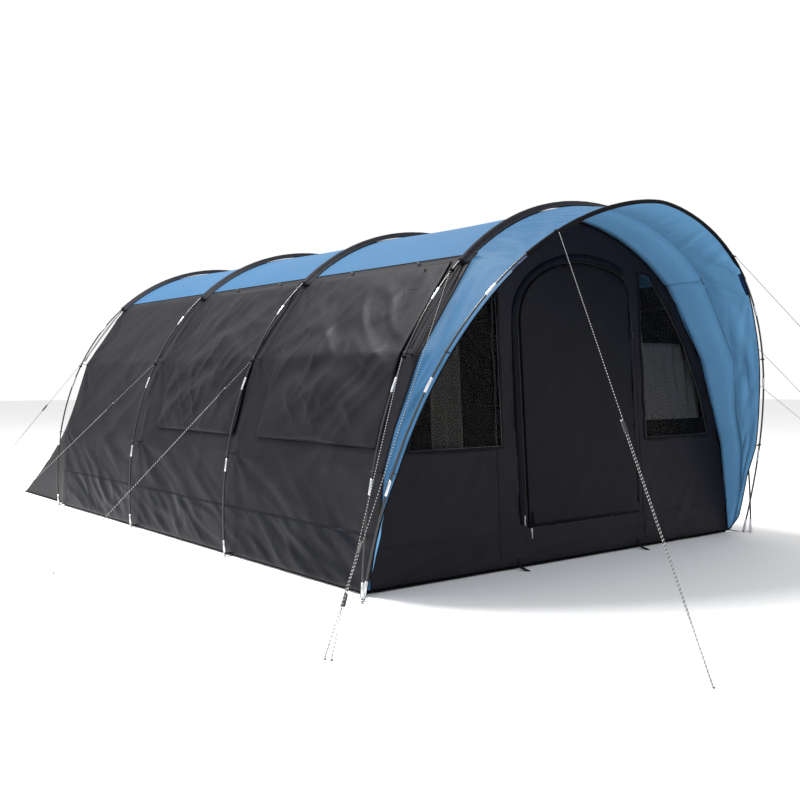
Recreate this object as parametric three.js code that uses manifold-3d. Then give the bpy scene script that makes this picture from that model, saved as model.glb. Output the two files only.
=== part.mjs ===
// A five-hoop tunnel tent with a porch canopy, a zipped front door, roll-up window covers and guy ropes.
// Units are millimetres and +Z is up. The door faces -Y, and X is positive to the right of a person
// who looks at the door. Places along the tunnel are measured from the main front hoop (y = 0).
import * as THREE from 'three';
import { ConvexGeometry } from 'three/addons/geometries/ConvexGeometry.js';
import { mergeVertices } from 'three/addons/utils/BufferGeometryUtils.js';
import Module from 'manifold-3d';

const wasm = await Module();
wasm.setup();

// ---- Driving dimensions --------------------------------------------------------------------------
const GAP = 0.5;                  // clearance between pieces that touch
const FABRIC = 4;                 // thickness of the fabric solids
const REACH = 3000;               // farther than any wall, for the tools that cut

const TUNNEL_HOOP = { halfWidth: 1545, height: 2000, bulge: 103, kneeHeight: 1207, shoulder: 917 };
const FRONT_HOOP = { halfWidth: 1602, height: 2000, bulge: -2, kneeHeight: 1207, shoulder: 937 };
const PORCH_HOOP = { halfWidth: 1570, height: 1951, bulge: 7, kneeHeight: 1807, shoulder: 200 };
const HOOP_Y = { rear: 4233, middle: 2779, second: 1424, front: 0 };
const PORCH_FOOT_Y = 36;
const PORCH_TOP_Y = -449;

const POLE_RADIUS = 5.5;
const POLE_FOOT_T = 0.0012;       // the rod stops this far along the curve, just above the ground
const SLEEVE_INNER_RADIUS = 8;
const SLEEVE_RADIUS = 14;
const SLEEVE_END_HEIGHT = 1610;
const PORCH_SLEEVE_END_HEIGHT = 1550;

const ROOF_INSET = 26;            // the roof hangs this far inside the poles, clear of their sleeves
const CLIP_INSET = 50;            // the walls hang this far inside the poles at each strap
const HEM_INSET = 36;
const GROUND_INSET = 90;          // below the hem height the fabric tucks in under the tent
const HEM_HEIGHT = 35;
const UPPER_CLIP_HEIGHT = 1150;
const LOWER_CLIP_HEIGHT = 600;
const SEAM_HEIGHT = 1650;         // the blue roof meets the dark side walls here
const SKIN_FRONT_Y = -55;         // the tunnel fabric reaches a little past the front hoop
const WALL_FRONT_EDGE = [         // and its walls draw back to the front corner towards the ground
  { z: 0, y: 130 }, { z: 35, y: 85 }, { z: 420, y: 4 }, { z: 600, y: -2 }, { z: 1150, y: SKIN_FRONT_Y },
];
const SKIN_REAR_Y = 4250;
const REAR_CORNER = { x: 1453, y: 5394 };
const CANOPY_LOW_HEIGHT = 420;
const CANOPY_OVERHANG = 22;       // the canopy's front hem lies just in front of the porch hoop

const WALL_FOOT_Y = 106;          // the front wall stands behind the front hoop and leans back
const WALL_LEAN = Math.atan(0.07);
const FRONT_HEM_HEIGHT = 24;
const DOOR = {
  left: -400, right: 575, bottom: 215, top: 1712, springLeft: 1330, springRight: 1560,
  peak: 166, peakHandleLeft: 260, peakHandleRight: 190, springHandleLeft: 260, rightHandleDrop: 40,
};
const DOOR_GAP = 1.5;
const BAND_WIDTH = 50;
const BAND_THICKNESS = 3;
const BAND_END = { height: 1640, inset: 60 };   // the zip's arch stops here, above the door's hinge side
const FRONT_WINDOW = { inner: 660, bottom: 665, top: 1690, margin: 150, topRun: 110, topDrop: 20 };
const FRONT_WINDOW_EDGE_HEIGHTS = [950, 1250, 1450];
const FRONT_WINDOW_SHIFT = { left: 100, right: 15 };   // the windows sit to the right, as the door does

const COVER_TOP_HEIGHT = 1620;
const COVER_LOW_HEIGHT = 700;
const COVER_STAND_OFF = 6;
const COVERS = [
  { name: 'front', yMin: 92, yMax: 1242 },
  { name: 'rear', yMin: 1500, yMax: 2573 },
];
const SIDE_WINDOW = { bottom: 800, top: 1480, margin: 90, cutFrom: 900, cutTo: 1600 };

const GROUNDSHEET = { thickness: 3, halfWidth: 1440, yMin: 120, yMax: 5340 };

const ROPE_RADIUS = 1.5;
const ROPE_STAND_OFF = 12;        // from a pole's axis outwards to the start of its rope
const PORCH_ROPE_STAND_OFF = 18;  // from the porch hoop's axis forwards, past its sleeve
const ROPE_END_HEIGHT = 6;
const KNOT_RADIUS = 5.5;           // the knot where both strands meet at the peg point
const RUNNER = { length: 52, width: 18, thickness: 9, bore: 2.4, spacing: 8 };
const ROPES = [
  { name: 'rear', hoop: 'rear', height: 1130, peg: [2300, 4250], runnerAt: 0.30 },
  { name: 'middle', hoop: 'middle', height: 1130, peg: [2500, 3000], runnerAt: 0.26 },
  { name: 'second', hoop: 'second', height: 1130, peg: [2496, 1525], runnerAt: 0.16 },
  { name: 'front_low', hoop: 'front', height: 1130, peg: [2227, -665], farPeg: [2780, -665], runnerAt: 0.84 },
  { name: 'front_high', hoop: 'front', height: 1560, peg: [2240, -640], farPeg: [2795, -640], runnerAt: 0.77 },
  { name: 'porch', hoop: 'porch', height: 1730, peg: [1413, -1708], runnerAt: 0.52 },
];

// ---- Materials -----------------------------------------------------------------------------------
const material = (color, roughness, metalness = 0) =>
  new THREE.MeshStandardMaterial({ color, roughness, metalness });
const COLOURS = {
  pole: () => material(0x101113, 0.35),
  sleeve: () => material(0x14161c, 0.8),
  blue: () => material(0x5f9fcf, 0.7),
  charcoal: () => material(0x45454b, 0.75),
  black: () => material(0x222326, 0.8),
  groundsheet: () => material(0x23262c, 0.6),
  clear: () => material(0x8d9296, 0.15),
  rope: () => material(0x2a2b2d, 0.8),
  plastic: () => material(0x1a1a1c, 0.5),
  zip: () => material(0x9a9ca0, 0.35, 0.8),
};

// ---- Solid helpers -------------------------------------------------------------------------------
function toSolid(geometry) {
  const bare = geometry.clone();
  bare.deleteAttribute('normal');
  bare.deleteAttribute('uv');
  const merged = mergeVertices(bare, 1e-3);
  return new wasm.Manifold(new wasm.Mesh({
    numProp: 3,
    vertProperties: new Float32Array(merged.attributes.position.array),
    triVerts: new Uint32Array(merged.index.array),
  }));
}

function toGeometry(solid) {
  const mesh = solid.getMesh();
  const geometry = new THREE.BufferGeometry();
  geometry.setAttribute('position', new THREE.BufferAttribute(new Float32Array(mesh.vertProperties), 3));
  geometry.setIndex(new THREE.BufferAttribute(new Uint32Array(mesh.triVerts), 1));
  return geometry;
}

const join = (...geometries) => toGeometry(geometries.map(toSolid).reduce((a, b) => a.add(b)));
const cut = (geometry, ...tools) =>
  toGeometry(tools.map(toSolid).reduce((a, b) => a.subtract(b), toSolid(geometry)));
const overlap = (a, b) => toGeometry(toSolid(a).intersect(toSolid(b)));

function boxBetween(low, high) {
  const size = high.map((value, axis) => value - low[axis]);
  const centre = high.map((value, axis) => (value + low[axis]) / 2);
  return new THREE.BoxGeometry(...size).translate(...centre);
}

// An outline in X and Z, extruded along Y from yMin to yMax.
function extrudeAlongY(outline, yMin, yMax) {
  const geometry = new THREE.ExtrudeGeometry(outline, {
    depth: yMax - yMin, bevelEnabled: false, curveSegments: 10,
  });
  return geometry.rotateX(Math.PI / 2).translate(0, yMax, 0);
}

// Moves each point of an open line sideways, to its left.
function offsetLine(points, distance) {
  return points.map((point, i) => {
    const before = points[Math.max(i - 1, 0)];
    const after = points[Math.min(i + 1, points.length - 1)];
    const incoming = i === 0 ? after.clone().sub(point) : point.clone().sub(before);
    const outgoing = i === points.length - 1 ? incoming : after.clone().sub(point);
    const normalIn = new THREE.Vector2(-incoming.y, incoming.x).normalize();
    const normalOut = new THREE.Vector2(-outgoing.y, outgoing.x).normalize();
    const mitre = normalIn.clone().add(normalOut).normalize();
    return point.clone().addScaledVector(mitre, distance / mitre.dot(normalIn));
  });
}

// A sheet of constant thickness whose outer face follows an open line.
function stripShape(points, thickness) {
  return new THREE.Shape([...points, ...offsetLine(points, thickness).reverse()]);
}

// A sheet stretched between two rows of points, thickened towards the inside of the tent. The edge
// along flatRow stays square to Y, so that it meets the end of the tunnel fabric face to face.
function loftSheet(rowA, rowB, flatRow, thickness) {
  const count = rowA.length;
  const along = (row, i) =>
    row[Math.min(i + 1, count - 1)].clone().sub(row[Math.max(i - 1, 0)]);
  const inner = (row, i) => {
    const across = rowB[i].clone().sub(rowA[i]);
    const inward = across.cross(along(rowA, i).add(along(rowB, i)));
    if (row === flatRow) inward.y = 0;
    inward.normalize();
    const moved = row[i].clone().addScaledVector(inward, thickness);
    moved.z = Math.max(moved.z, 0);
    return moved;
  };
  const rings = rowA.map((_, i) => [rowA[i], rowB[i], inner(rowB, i), inner(rowA, i)]);
  const positions = rings.flat().flatMap((point) => point.toArray());
  const index = [0, 1, 2, 0, 2, 3];
  for (let i = 0; i < count - 1; i += 1) {
    for (let side = 0; side < 4; side += 1) {
      const next = (side + 1) % 4;
      const [a, b, c, d] = [4 * i + side, 4 * i + next, 4 * (i + 1) + next, 4 * (i + 1) + side];
      index.push(a, d, c, a, c, b);
    }
  }
  const last = 4 * (count - 1);
  index.push(last, last + 2, last + 1, last, last + 3, last + 2);
  const geometry = new THREE.BufferGeometry();
  geometry.setAttribute('position', new THREE.BufferAttribute(new Float32Array(positions), 3));
  geometry.setIndex(index);
  return geometry;
}

// ---- Hoops ---------------------------------------------------------------------------------------
// One flexible hoop, from the left foot over the top to the right foot. Each half is a Bezier curve
// that rises almost straight from the foot and lies level at the top.
class HoopCurve extends THREE.Curve {
  constructor(shape, yFoot, yTop, inset = 0, start = 0) {
    super();
    const { halfWidth, height, bulge, kneeHeight, shoulder } = shape;
    this.half = new THREE.CubicBezierCurve(
      new THREE.Vector2(halfWidth - inset, 0),
      new THREE.Vector2(halfWidth + bulge - inset, kneeHeight),
      new THREE.Vector2(shoulder, height - inset),
      new THREE.Vector2(0, height - inset),
    );
    this.height = height;
    this.yFoot = yFoot;
    this.yTop = yTop;
    this.start = start;
  }

  yAt(z) {
    return this.yFoot + (this.yTop - this.yFoot) * (z / this.height);
  }

  getPoint(t, target = new THREE.Vector3()) {
    const whole = this.start + (1 - 2 * this.start) * t;
    const side = whole < 0.5 ? -1 : 1;
    const { x, y: z } = this.half.getPoint(1 - Math.abs(2 * whole - 1));
    return target.set(side * x, this.yAt(z), z);
  }

  // The point of the right-hand half at a height, found by halving.
  atHeight(z) {
    let low = 0;
    let high = 1;
    for (let i = 0; i < 40; i += 1) {
      const middle = (low + high) / 2;
      if (this.half.getPoint(middle).y < z) low = middle;
      else high = middle;
    }
    const { x } = this.half.getPoint(low);
    return { x, z, y: this.yAt(z), t: low / 2 };
  }
}

const HOOPS = {
  rear: [TUNNEL_HOOP, HOOP_Y.rear, HOOP_Y.rear],
  middle: [TUNNEL_HOOP, HOOP_Y.middle, HOOP_Y.middle],
  second: [TUNNEL_HOOP, HOOP_Y.second, HOOP_Y.second],
  front: [FRONT_HOOP, HOOP_Y.front, HOOP_Y.front],
  porch: [PORCH_HOOP, PORCH_FOOT_Y, PORCH_TOP_Y],
};
const hoop = (name, inset, start) => new HoopCurve(...HOOPS[name], inset, start);

function ring(outer, inner) {
  const shape = new THREE.Shape().absarc(0, 0, outer, 0, 2 * Math.PI);
  if (inner) shape.holes.push(new THREE.Path().absarc(0, 0, inner, 0, 2 * Math.PI, true));
  return shape;
}

function sweep(section, path, steps) {
  const settings = { steps, curveSegments: 4, bevelEnabled: false, extrudePath: path };
  return new THREE.ExtrudeGeometry(section, settings);
}

const pole = (name) => sweep(ring(POLE_RADIUS), hoop(name, 0, POLE_FOOT_T), 44);

function sleeve(name) {
  const endHeight = name === 'porch' ? PORCH_SLEEVE_END_HEIGHT : SLEEVE_END_HEIGHT;
  const start = hoop(name).atHeight(endHeight).t;
  return sweep(ring(SLEEVE_RADIUS, SLEEVE_INNER_RADIUS), hoop(name, 0, start), 18);
}

const REAR_SEGMENTS = 14;         // along the roof's arch, for each panel that ends on it
const PLATE_SEGMENTS = 20;
const CANOPY_SEGMENTS = 18;
const ROOF_SEGMENTS = 22;
const ARCH_START = 30;            // the arch's first point, this far above the seam

// ---- Tunnel fabric -------------------------------------------------------------------------------
const TUNNEL = hoop('second');
const ROOF_CURVE = hoop('second', ROOF_INSET);

// The right-hand wall from the ground to a height: straight from strap to strap, inside the poles.
function wallLine(curve, topHeight, lowHeight = 0) {
  const corners = [
    [0, GROUND_INSET], [HEM_HEIGHT, HEM_INSET],
    [LOWER_CLIP_HEIGHT, CLIP_INSET], [UPPER_CLIP_HEIGHT, CLIP_INSET],
    [SLEEVE_END_HEIGHT, ROOF_INSET + 4], [SEAM_HEIGHT, ROOF_INSET + 4],
  ].map(([z, inset]) => new THREE.Vector2(curve.atHeight(z).x - inset, z));
  const at = (z) => {
    const i = Math.max(corners.findIndex((corner) => corner.y >= z), 1);
    const [a, b] = [corners[i - 1], corners[i]];
    return a.clone().lerp(b, (z - a.y) / (b.y - a.y));
  };
  const between = corners.filter((corner) => corner.y > lowHeight + 1 && corner.y < topHeight - 1);
  return [at(lowHeight), ...between, at(topHeight)];
}

const mirrorLine = (points) => points.map((point) => new THREE.Vector2(-point.x, point.y));
const mirrorX = (geometry) => {
  const mirrored = geometry.index ? geometry.clone() : mergeVertices(geometry.clone(), 1e-3);
  mirrored.scale(-1, 1, 1);
  mirrored.index.array.reverse();
  return mirrored;
};

// The roof's outer line from the left seam to the right seam.
function roofLine(curve, seamHeight, segments) {
  const start = curve.atHeight(seamHeight).t;
  const arch = new HoopCurve(...HOOPS.second, ROOF_INSET, start);
  arch.half = curve.half;
  return arch.getPoints(segments).map((point) => new THREE.Vector2(point.x, point.z));
}

const roof = () => {
  const line = roofLine(ROOF_CURVE, SEAM_HEIGHT + GAP + FABRIC, ROOF_SEGMENTS).reverse();
  return extrudeAlongY(stripShape(line, FABRIC), SKIN_FRONT_Y, SKIN_REAR_Y);
};

function sideWindowTool(cover, shrink) {
  const { bottom, top, margin, cutFrom, cutTo } = SIDE_WINDOW;
  return boxBetween(
    [cutFrom, cover.yMin + margin + shrink, bottom + shrink],
    [cutTo, cover.yMax - margin - shrink, top - shrink],
  );
}

const wallSheet = (thickness, top, low, yMin, yMax, standOff = 0) => {
  const line = offsetLine(wallLine(TUNNEL, top, low), -standOff);
  return extrudeAlongY(stripShape(line, thickness), yMin, yMax);
};

// How far forward the tunnel's wall reaches at a height.
function wallFrontY(z) {
  const last = WALL_FRONT_EDGE.length - 1;
  const i = WALL_FRONT_EDGE.findIndex((point) => point.z >= z);
  if (i < 0) return WALL_FRONT_EDGE[last].y;
  const [a, b] = [WALL_FRONT_EDGE[Math.max(i - 1, 0)], WALL_FRONT_EDGE[i]];
  return a === b ? a.y : a.y + (b.y - a.y) * ((z - a.z) / (b.z - a.z));
}

// A prism along X that cuts away the fabric in front of the wall's front edge.
function frontEdgeTool() {
  const edge = WALL_FRONT_EDGE.map(({ y, z }) => new THREE.Vector2(y, z));
  const foremost = SKIN_FRONT_Y - FABRIC;
  const shape = new THREE.Shape([
    new THREE.Vector2(foremost, -FABRIC), new THREE.Vector2(edge[0].x, -FABRIC), ...edge,
    new THREE.Vector2(foremost, edge.at(-1).y),
  ]);
  const prism = new THREE.ExtrudeGeometry(shape, { depth: REACH, bevelEnabled: false });
  return prism.applyMatrix4(new THREE.Matrix4().set(0, 0, 1, 0, 1, 0, 0, 0, 0, 1, 0, 0, 0, 0, 0, 1));
}

const sideWall = () => cut(
  wallSheet(FABRIC, SEAM_HEIGHT, 0, SKIN_FRONT_Y, SKIN_REAR_Y),
  boxBetween([0, -REACH, -FABRIC], [REACH, 2 * REACH, 0]),
  frontEdgeTool(),
  ...COVERS.map((cover) => sideWindowTool(cover, 0)),
);

const sidePane = (cover) => overlap(
  wallSheet(FABRIC / 2, SEAM_HEIGHT, 0, cover.yMin, cover.yMax),
  sideWindowTool(cover, GAP),
);

const windowCover = (cover) =>
  wallSheet(FABRIC / 2, COVER_TOP_HEIGHT, COVER_LOW_HEIGHT, cover.yMin, cover.yMax, COVER_STAND_OFF);

// The whole outline of the tunnel fabric, from the left foot over the roof to the right foot.
function skinLine(segments) {
  const right = wallLine(TUNNEL, SEAM_HEIGHT);
  const arch = roofLine(ROOF_CURVE, SEAM_HEIGHT + ARCH_START, segments);
  return [...mirrorLine(right), ...arch, ...right.slice().reverse()];
}

// Behind the rear hoop the fabric slopes down and back to a straight edge on the ground: a hull of
// the tunnel's outline and the two ground corners, hollowed so that it is open to the tunnel.
function rearWall() {
  const hull = (inset, yFront, ground) => {
    const line = offsetLine(skinLine(REAR_SEGMENTS), -inset);
    const outline = line.map(({ x, y: z }) => new THREE.Vector3(x, yFront, z));
    const feet = [line[0], line.at(-1)].map(({ x }) => new THREE.Vector3(x, yFront, ground));
    const corners = [-1, 1].map((side) =>
      new THREE.Vector3(side * (REAR_CORNER.x - inset), REAR_CORNER.y - 2 * inset, ground));
    return new ConvexGeometry([...outline, ...feet, ...corners]);
  };
  return cut(hull(0, SKIN_REAR_Y + GAP, 0), hull(FABRIC, SKIN_REAR_Y, -FABRIC));
}

// The canopy runs from the tunnel fabric to the leaning porch hoop.
function canopy() {
  const porch = hoop('porch');
  const porchRoof = hoop('porch', ROOF_INSET);
  const rightWall = wallLine(TUNNEL, SEAM_HEIGHT, CANOPY_LOW_HEIGHT);
  const tunnelArch = roofLine(ROOF_CURVE, SEAM_HEIGHT + ARCH_START, CANOPY_SEGMENTS);
  const back = [...mirrorLine(rightWall), ...tunnelArch, ...rightWall.slice().reverse()];
  const porchWall = wallLine(porch, SEAM_HEIGHT - 2 * ARCH_START, CANOPY_LOW_HEIGHT);
  const start = porchRoof.atHeight(SEAM_HEIGHT - ARCH_START).t;
  const porchArch = hoop('porch', ROOF_INSET, start).getPoints(CANOPY_SEGMENTS);
  const flatArch = porchArch.map((point) => new THREE.Vector2(point.x, point.z));
  const front = [...mirrorLine(porchWall), ...flatArch, ...porchWall.slice().reverse()];
  const frontRow = front.map(({ x, y: z }) => new THREE.Vector3(x, porch.yAt(z) - CANOPY_OVERHANG, z));
  const backRow = back.map(({ x, y: z }) => new THREE.Vector3(x, wallFrontY(z) - GAP, z));
  return loftSheet(frontRow, backRow, backRow, FABRIC);
}

// ---- Front wall, door and zips -------------------------------------------------------------------
function doorOutline(grow) {
  const { left, right, bottom, springLeft, springRight, top, peak } = DOOR;
  const shape = new THREE.Shape();
  shape.moveTo(left - grow, bottom - grow);
  shape.lineTo(right + grow, bottom - grow);
  shape.lineTo(right + grow, springRight);
  const rightHandle = [right + grow, top - DOOR.rightHandleDrop + grow];
  shape.bezierCurveTo(...rightHandle, peak + DOOR.peakHandleRight, top + grow, peak, top + grow);
  const leftHandle = [left - grow, springLeft + DOOR.springHandleLeft];
  shape.bezierCurveTo(peak - DOOR.peakHandleLeft, top + grow, ...leftHandle, left - grow, springLeft);
  shape.closePath();
  return shape;
}

const inWallPlane = (outline, thickness, front = 0) => extrudeAlongY(outline, front, front + thickness);

function frontWindowOutline(side, shrink) {
  const { inner, bottom, top, margin, topRun, topDrop } = FRONT_WINDOW;
  const low = bottom + shrink;
  const high = top - shrink;
  const outer = [low, ...FRONT_WINDOW_EDGE_HEIGHTS].map((z) =>
    [TUNNEL.atHeight(z).x - margin - CLIP_INSET - shrink, z]);
  const points = [
    [inner + shrink, low], ...outer, [inner + topRun - shrink, high - topDrop], [inner + shrink, high],
  ];
  const shift = side < 0 ? FRONT_WINDOW_SHIFT.left : FRONT_WINDOW_SHIFT.right;
  return new THREE.Shape(points.map(([x, z]) => new THREE.Vector2(side * x + shift, z)));
}

function wallPlate() {
  const outline = offsetLine(skinLine(PLATE_SEGMENTS).reverse(), FABRIC + GAP);
  const plate = inWallPlane(new THREE.Shape(outline), FABRIC);
  return cut(
    plate,
    inWallPlane(doorOutline(DOOR_GAP), 3 * FABRIC, -FABRIC),
    ...[-1, 1].map((side) => inWallPlane(frontWindowOutline(side, 0), 3 * FABRIC, -FABRIC)),
  );
}

const wallPart = (plate, xMin, xMax, zMin, zMax) =>
  overlap(plate, boxBetween([xMin, -FABRIC, zMin], [xMax, 2 * FABRIC, zMax]));

function zipBand() {
  const outer = inWallPlane(doorOutline(DOOR_GAP + BAND_WIDTH), BAND_THICKNESS, -BAND_THICKNESS - GAP);
  const inner = inWallPlane(doorOutline(DOOR_GAP), 3 * BAND_THICKNESS, -2 * BAND_THICKNESS - GAP);
  const { left, right, bottom } = DOOR;
  const ends = boxBetween([left - REACH, -BAND_WIDTH, bottom - REACH], [right + REACH, BAND_WIDTH, bottom]);
  const hingeSide = boxBetween(
    [right - BAND_END.inset, -BAND_WIDTH, bottom - REACH],
    [right + REACH, BAND_WIDTH, BAND_END.height],
  );
  return cut(outer, inner, ends, hingeSide);
}

// A zip slider with a long pull, hanging from the slider's body.
const zipSlider = () => join(
  boxBetween([-7, -6, -9], [7, 0, 9]),
  boxBetween([-4, -7.5, -46], [4, -5, -4]),
);

// ---- Guy ropes -----------------------------------------------------------------------------------
// side is 1 on the right and -1 on the left.
function ropeRoute(rope, side) {
  const curve = hoop(rope.hoop);
  const { x, y, z } = curve.atHeight(rope.height);
  const start = rope.hoop === 'porch'
    ? new THREE.Vector3(side * x, y - PORCH_ROPE_STAND_OFF, z)
    : new THREE.Vector3(side * (x + ROPE_STAND_OFF), y, z);
  const [pegX, pegY] = side > 0 && rope.farPeg ? rope.farPeg : rope.peg;
  const peg = new THREE.Vector3(side * pegX, pegY, ROPE_END_HEIGHT);
  const down = peg.clone().sub(start).normalize();
  const across = new THREE.Vector3(down.y, -down.x, 0).normalize();
  const runner = start.clone().lerp(peg, rope.runnerAt);
  return { start, peg, down, across, runner };
}

const strand = (from, to) => sweep(ring(ROPE_RADIUS), new THREE.LineCurve3(from, to), 1);

// The rope runs down through the runner to the peg, and a second strand comes back up to the runner.
function guyRope(rope, side) {
  const { start, peg, down, across, runner } = ropeRoute(rope, side);
  const returnEnd = runner.clone().addScaledVector(down, RUNNER.length / 2 + GAP);
  returnEnd.addScaledVector(across, RUNNER.spacing);
  const knot = new THREE.IcosahedronGeometry(KNOT_RADIUS, 0).translate(...peg.toArray());
  return join(knot, strand(start, peg), strand(returnEnd, peg.clone().addScaledVector(across, 1)));
}

// The runner is a flat plastic block with one bore for each strand.
function ropeRunner(rope, side) {
  const { down, across, runner } = ropeRoute(rope, side);
  const { length, width, thickness, bore, spacing } = RUNNER;
  const low = -thickness / 2;
  const left = spacing / 2 - width / 2;
  const section = new THREE.Shape();
  section.moveTo(left + 3, low);
  section.lineTo(left + width - 3, low);
  section.lineTo(left + width, 0);
  section.lineTo(left + width - 3, -low);
  section.lineTo(left + 3, -low);
  section.lineTo(left, 0);
  section.closePath();
  [0, spacing].forEach((x) => section.holes.push(new THREE.Path().absarc(x, 0, bore, 0, 2 * Math.PI, true)));
  const block = new THREE.ExtrudeGeometry(section, { depth: length, curveSegments: 4, bevelEnabled: false });
  block.translate(0, 0, -length / 2);
  const frame = new THREE.Matrix4().makeBasis(across, down.clone().cross(across), down);
  return block.applyMatrix4(frame.setPosition(runner));
}

// ---- Assembly ------------------------------------------------------------------------------------
const tent = new THREE.Group();
const cords = new THREE.Group();
const frontWall = new THREE.Group();
frontWall.position.set(0, WALL_FOOT_Y, 0);
frontWall.rotation.x = -WALL_LEAN;

function add(parent, name, geometry, finish) {
  const mesh = new THREE.Mesh(geometry, finish());
  mesh.name = name;
  parent.add(mesh);
  return mesh;
}

for (const name of Object.keys(HOOPS)) {
  add(tent, `pole_${name}`, pole(name), COLOURS.pole);
  add(tent, `pole_sleeve_${name}`, sleeve(name), COLOURS.sleeve);
}

add(tent, 'roof', roof(), COLOURS.blue);
add(tent, 'canopy', canopy(), COLOURS.blue);
add(tent, 'rear_wall', rearWall(), COLOURS.charcoal);
const { thickness, halfWidth, yMin, yMax } = GROUNDSHEET;
add(tent, 'groundsheet', boxBetween([-halfWidth, yMin, 0], [halfWidth, yMax, thickness]), COLOURS.groundsheet);

for (const [label, place] of [['right', (geometry) => geometry], ['left', mirrorX]]) {
  add(tent, `side_wall_${label}`, place(sideWall()), COLOURS.charcoal);
  for (const cover of COVERS) {
    add(tent, `side_window_${label}_${cover.name}`, place(sidePane(cover)), COLOURS.clear);
    add(tent, `window_cover_${label}_${cover.name}`, place(windowCover(cover)), COLOURS.charcoal);
  }
}

const plate = wallPlate();
const doorLeft = DOOR.left - DOOR_GAP;
const doorRight = DOOR.right + DOOR_GAP;
const doorBottom = DOOR.bottom - DOOR_GAP;
const hem = FRONT_HEM_HEIGHT;
add(frontWall, 'front_wall_left', wallPart(plate, -REACH, doorLeft, hem, REACH), COLOURS.black);
add(frontWall, 'front_wall_right', wallPart(plate, doorRight, REACH, hem, REACH), COLOURS.black);
const [betweenLeft, betweenRight] = [doorLeft + GAP, doorRight - GAP];
add(frontWall, 'front_wall_top', wallPart(plate, betweenLeft, betweenRight, DOOR.springLeft, REACH), COLOURS.black);
add(frontWall, 'front_sill', wallPart(plate, betweenLeft, betweenRight, hem, doorBottom), COLOURS.black);
add(frontWall, 'door_zip_band', zipBand(), COLOURS.black);
add(frontWall, 'door', inWallPlane(doorOutline(0), FABRIC), COLOURS.black);
for (const [label, side] of [['left', -1], ['right', 1]]) {
  const pane = inWallPlane(frontWindowOutline(side, GAP), FABRIC / 2, FABRIC / 4);
  add(frontWall, `front_window_${label}`, pane, COLOURS.clear);
}
const sideSlider = add(frontWall, 'zip_slider_side', zipSlider(), COLOURS.zip);
sideSlider.position.set(DOOR.left - 24, -BAND_THICKNESS - 2 * GAP, DOOR.bottom + 60);
const bottomSlider = add(frontWall, 'zip_slider_bottom', zipSlider(), COLOURS.zip);
bottomSlider.position.set(DOOR.left + 30, -GAP, DOOR.bottom - 14);
tent.add(frontWall);

for (const rope of ROPES) {
  for (const [label, side] of [['left', -1], ['right', 1]]) {
    add(cords, `guy_rope_${label}_${rope.name}`, guyRope(rope, side), COLOURS.rope);
    add(cords, `rope_runner_${label}_${rope.name}`, ropeRunner(rope, side), COLOURS.plastic);
  }
}

// The origin is on the ground below the middle of the tent, which the ropes reach past.
const assembly = new THREE.Group();
const middle = new THREE.Box3().setFromObject(tent, true).getCenter(new THREE.Vector3());
assembly.add(tent, cords);
assembly.position.set(0, -middle.y, 0);
assembly.updateMatrixWorld(true);

export default assembly;
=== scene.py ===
"""Looks of a five-hoop tunnel tent with a porch canopy. Metres, +Z up, the door faces -Y.

Places along the tunnel are written from the main front hoop: at(y) turns them into the row frame.
"""

import functools
import math

import bpy
import numpy as np
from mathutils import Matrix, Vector, geometry, noise


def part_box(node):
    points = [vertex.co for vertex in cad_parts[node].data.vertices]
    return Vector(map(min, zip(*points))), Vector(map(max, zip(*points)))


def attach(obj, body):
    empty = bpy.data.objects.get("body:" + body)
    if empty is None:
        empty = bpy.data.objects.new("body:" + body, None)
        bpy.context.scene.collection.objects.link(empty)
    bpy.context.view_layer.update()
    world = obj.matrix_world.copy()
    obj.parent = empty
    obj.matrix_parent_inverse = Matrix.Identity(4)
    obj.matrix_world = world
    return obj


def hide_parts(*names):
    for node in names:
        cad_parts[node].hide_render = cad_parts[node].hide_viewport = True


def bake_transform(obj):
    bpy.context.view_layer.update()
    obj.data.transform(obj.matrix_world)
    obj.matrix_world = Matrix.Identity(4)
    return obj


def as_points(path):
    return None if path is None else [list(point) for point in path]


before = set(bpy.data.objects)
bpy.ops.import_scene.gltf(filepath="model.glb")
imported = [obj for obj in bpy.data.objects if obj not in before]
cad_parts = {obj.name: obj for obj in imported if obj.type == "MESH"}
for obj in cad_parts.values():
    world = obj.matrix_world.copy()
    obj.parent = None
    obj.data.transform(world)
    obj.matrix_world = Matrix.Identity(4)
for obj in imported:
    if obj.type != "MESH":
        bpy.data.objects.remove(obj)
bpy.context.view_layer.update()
ROOT = "tent_body"
SIDES = (("left", -1), ("right", 1))


def middle(node):
    low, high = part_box(node)
    return (low + high) / 2


FRONT_Y = middle("pole_front").y
HOOP_Y = {name: middle(f"pole_{name}").y - FRONT_Y for name in ("rear", "middle", "second", "front")}


def at(x, y, z):
    """A place given from the main front hoop, in the row frame."""
    return Vector((x, y + FRONT_Y, z))


# ---- Camera and light ---------------------------------------------------------------------------
CAMERA = {"place": (-4.172, -3.515, 1.0285), "turn": -38.44, "tilt": 1.28, "lens": 42.95, "sensor": 36.0}


def make_camera():
    data = bpy.data.cameras.new("camera")
    data.lens, data.sensor_width = CAMERA["lens"], CAMERA["sensor"]
    data.clip_start, data.clip_end = 0.05, 100
    camera = bpy.data.objects.new("camera", data)
    turn, tilt = math.radians(CAMERA["turn"]), math.radians(CAMERA["tilt"])
    back = Vector((math.sin(turn) * math.cos(tilt), -math.cos(turn) * math.cos(tilt), math.sin(tilt)))
    camera.location = at(*CAMERA["place"])
    camera.rotation_mode = "QUATERNION"
    camera.rotation_quaternion = (-back).to_track_quat("-Z", "Y")
    bpy.context.scene.collection.objects.link(camera)
    bpy.context.scene.camera = camera


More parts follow.
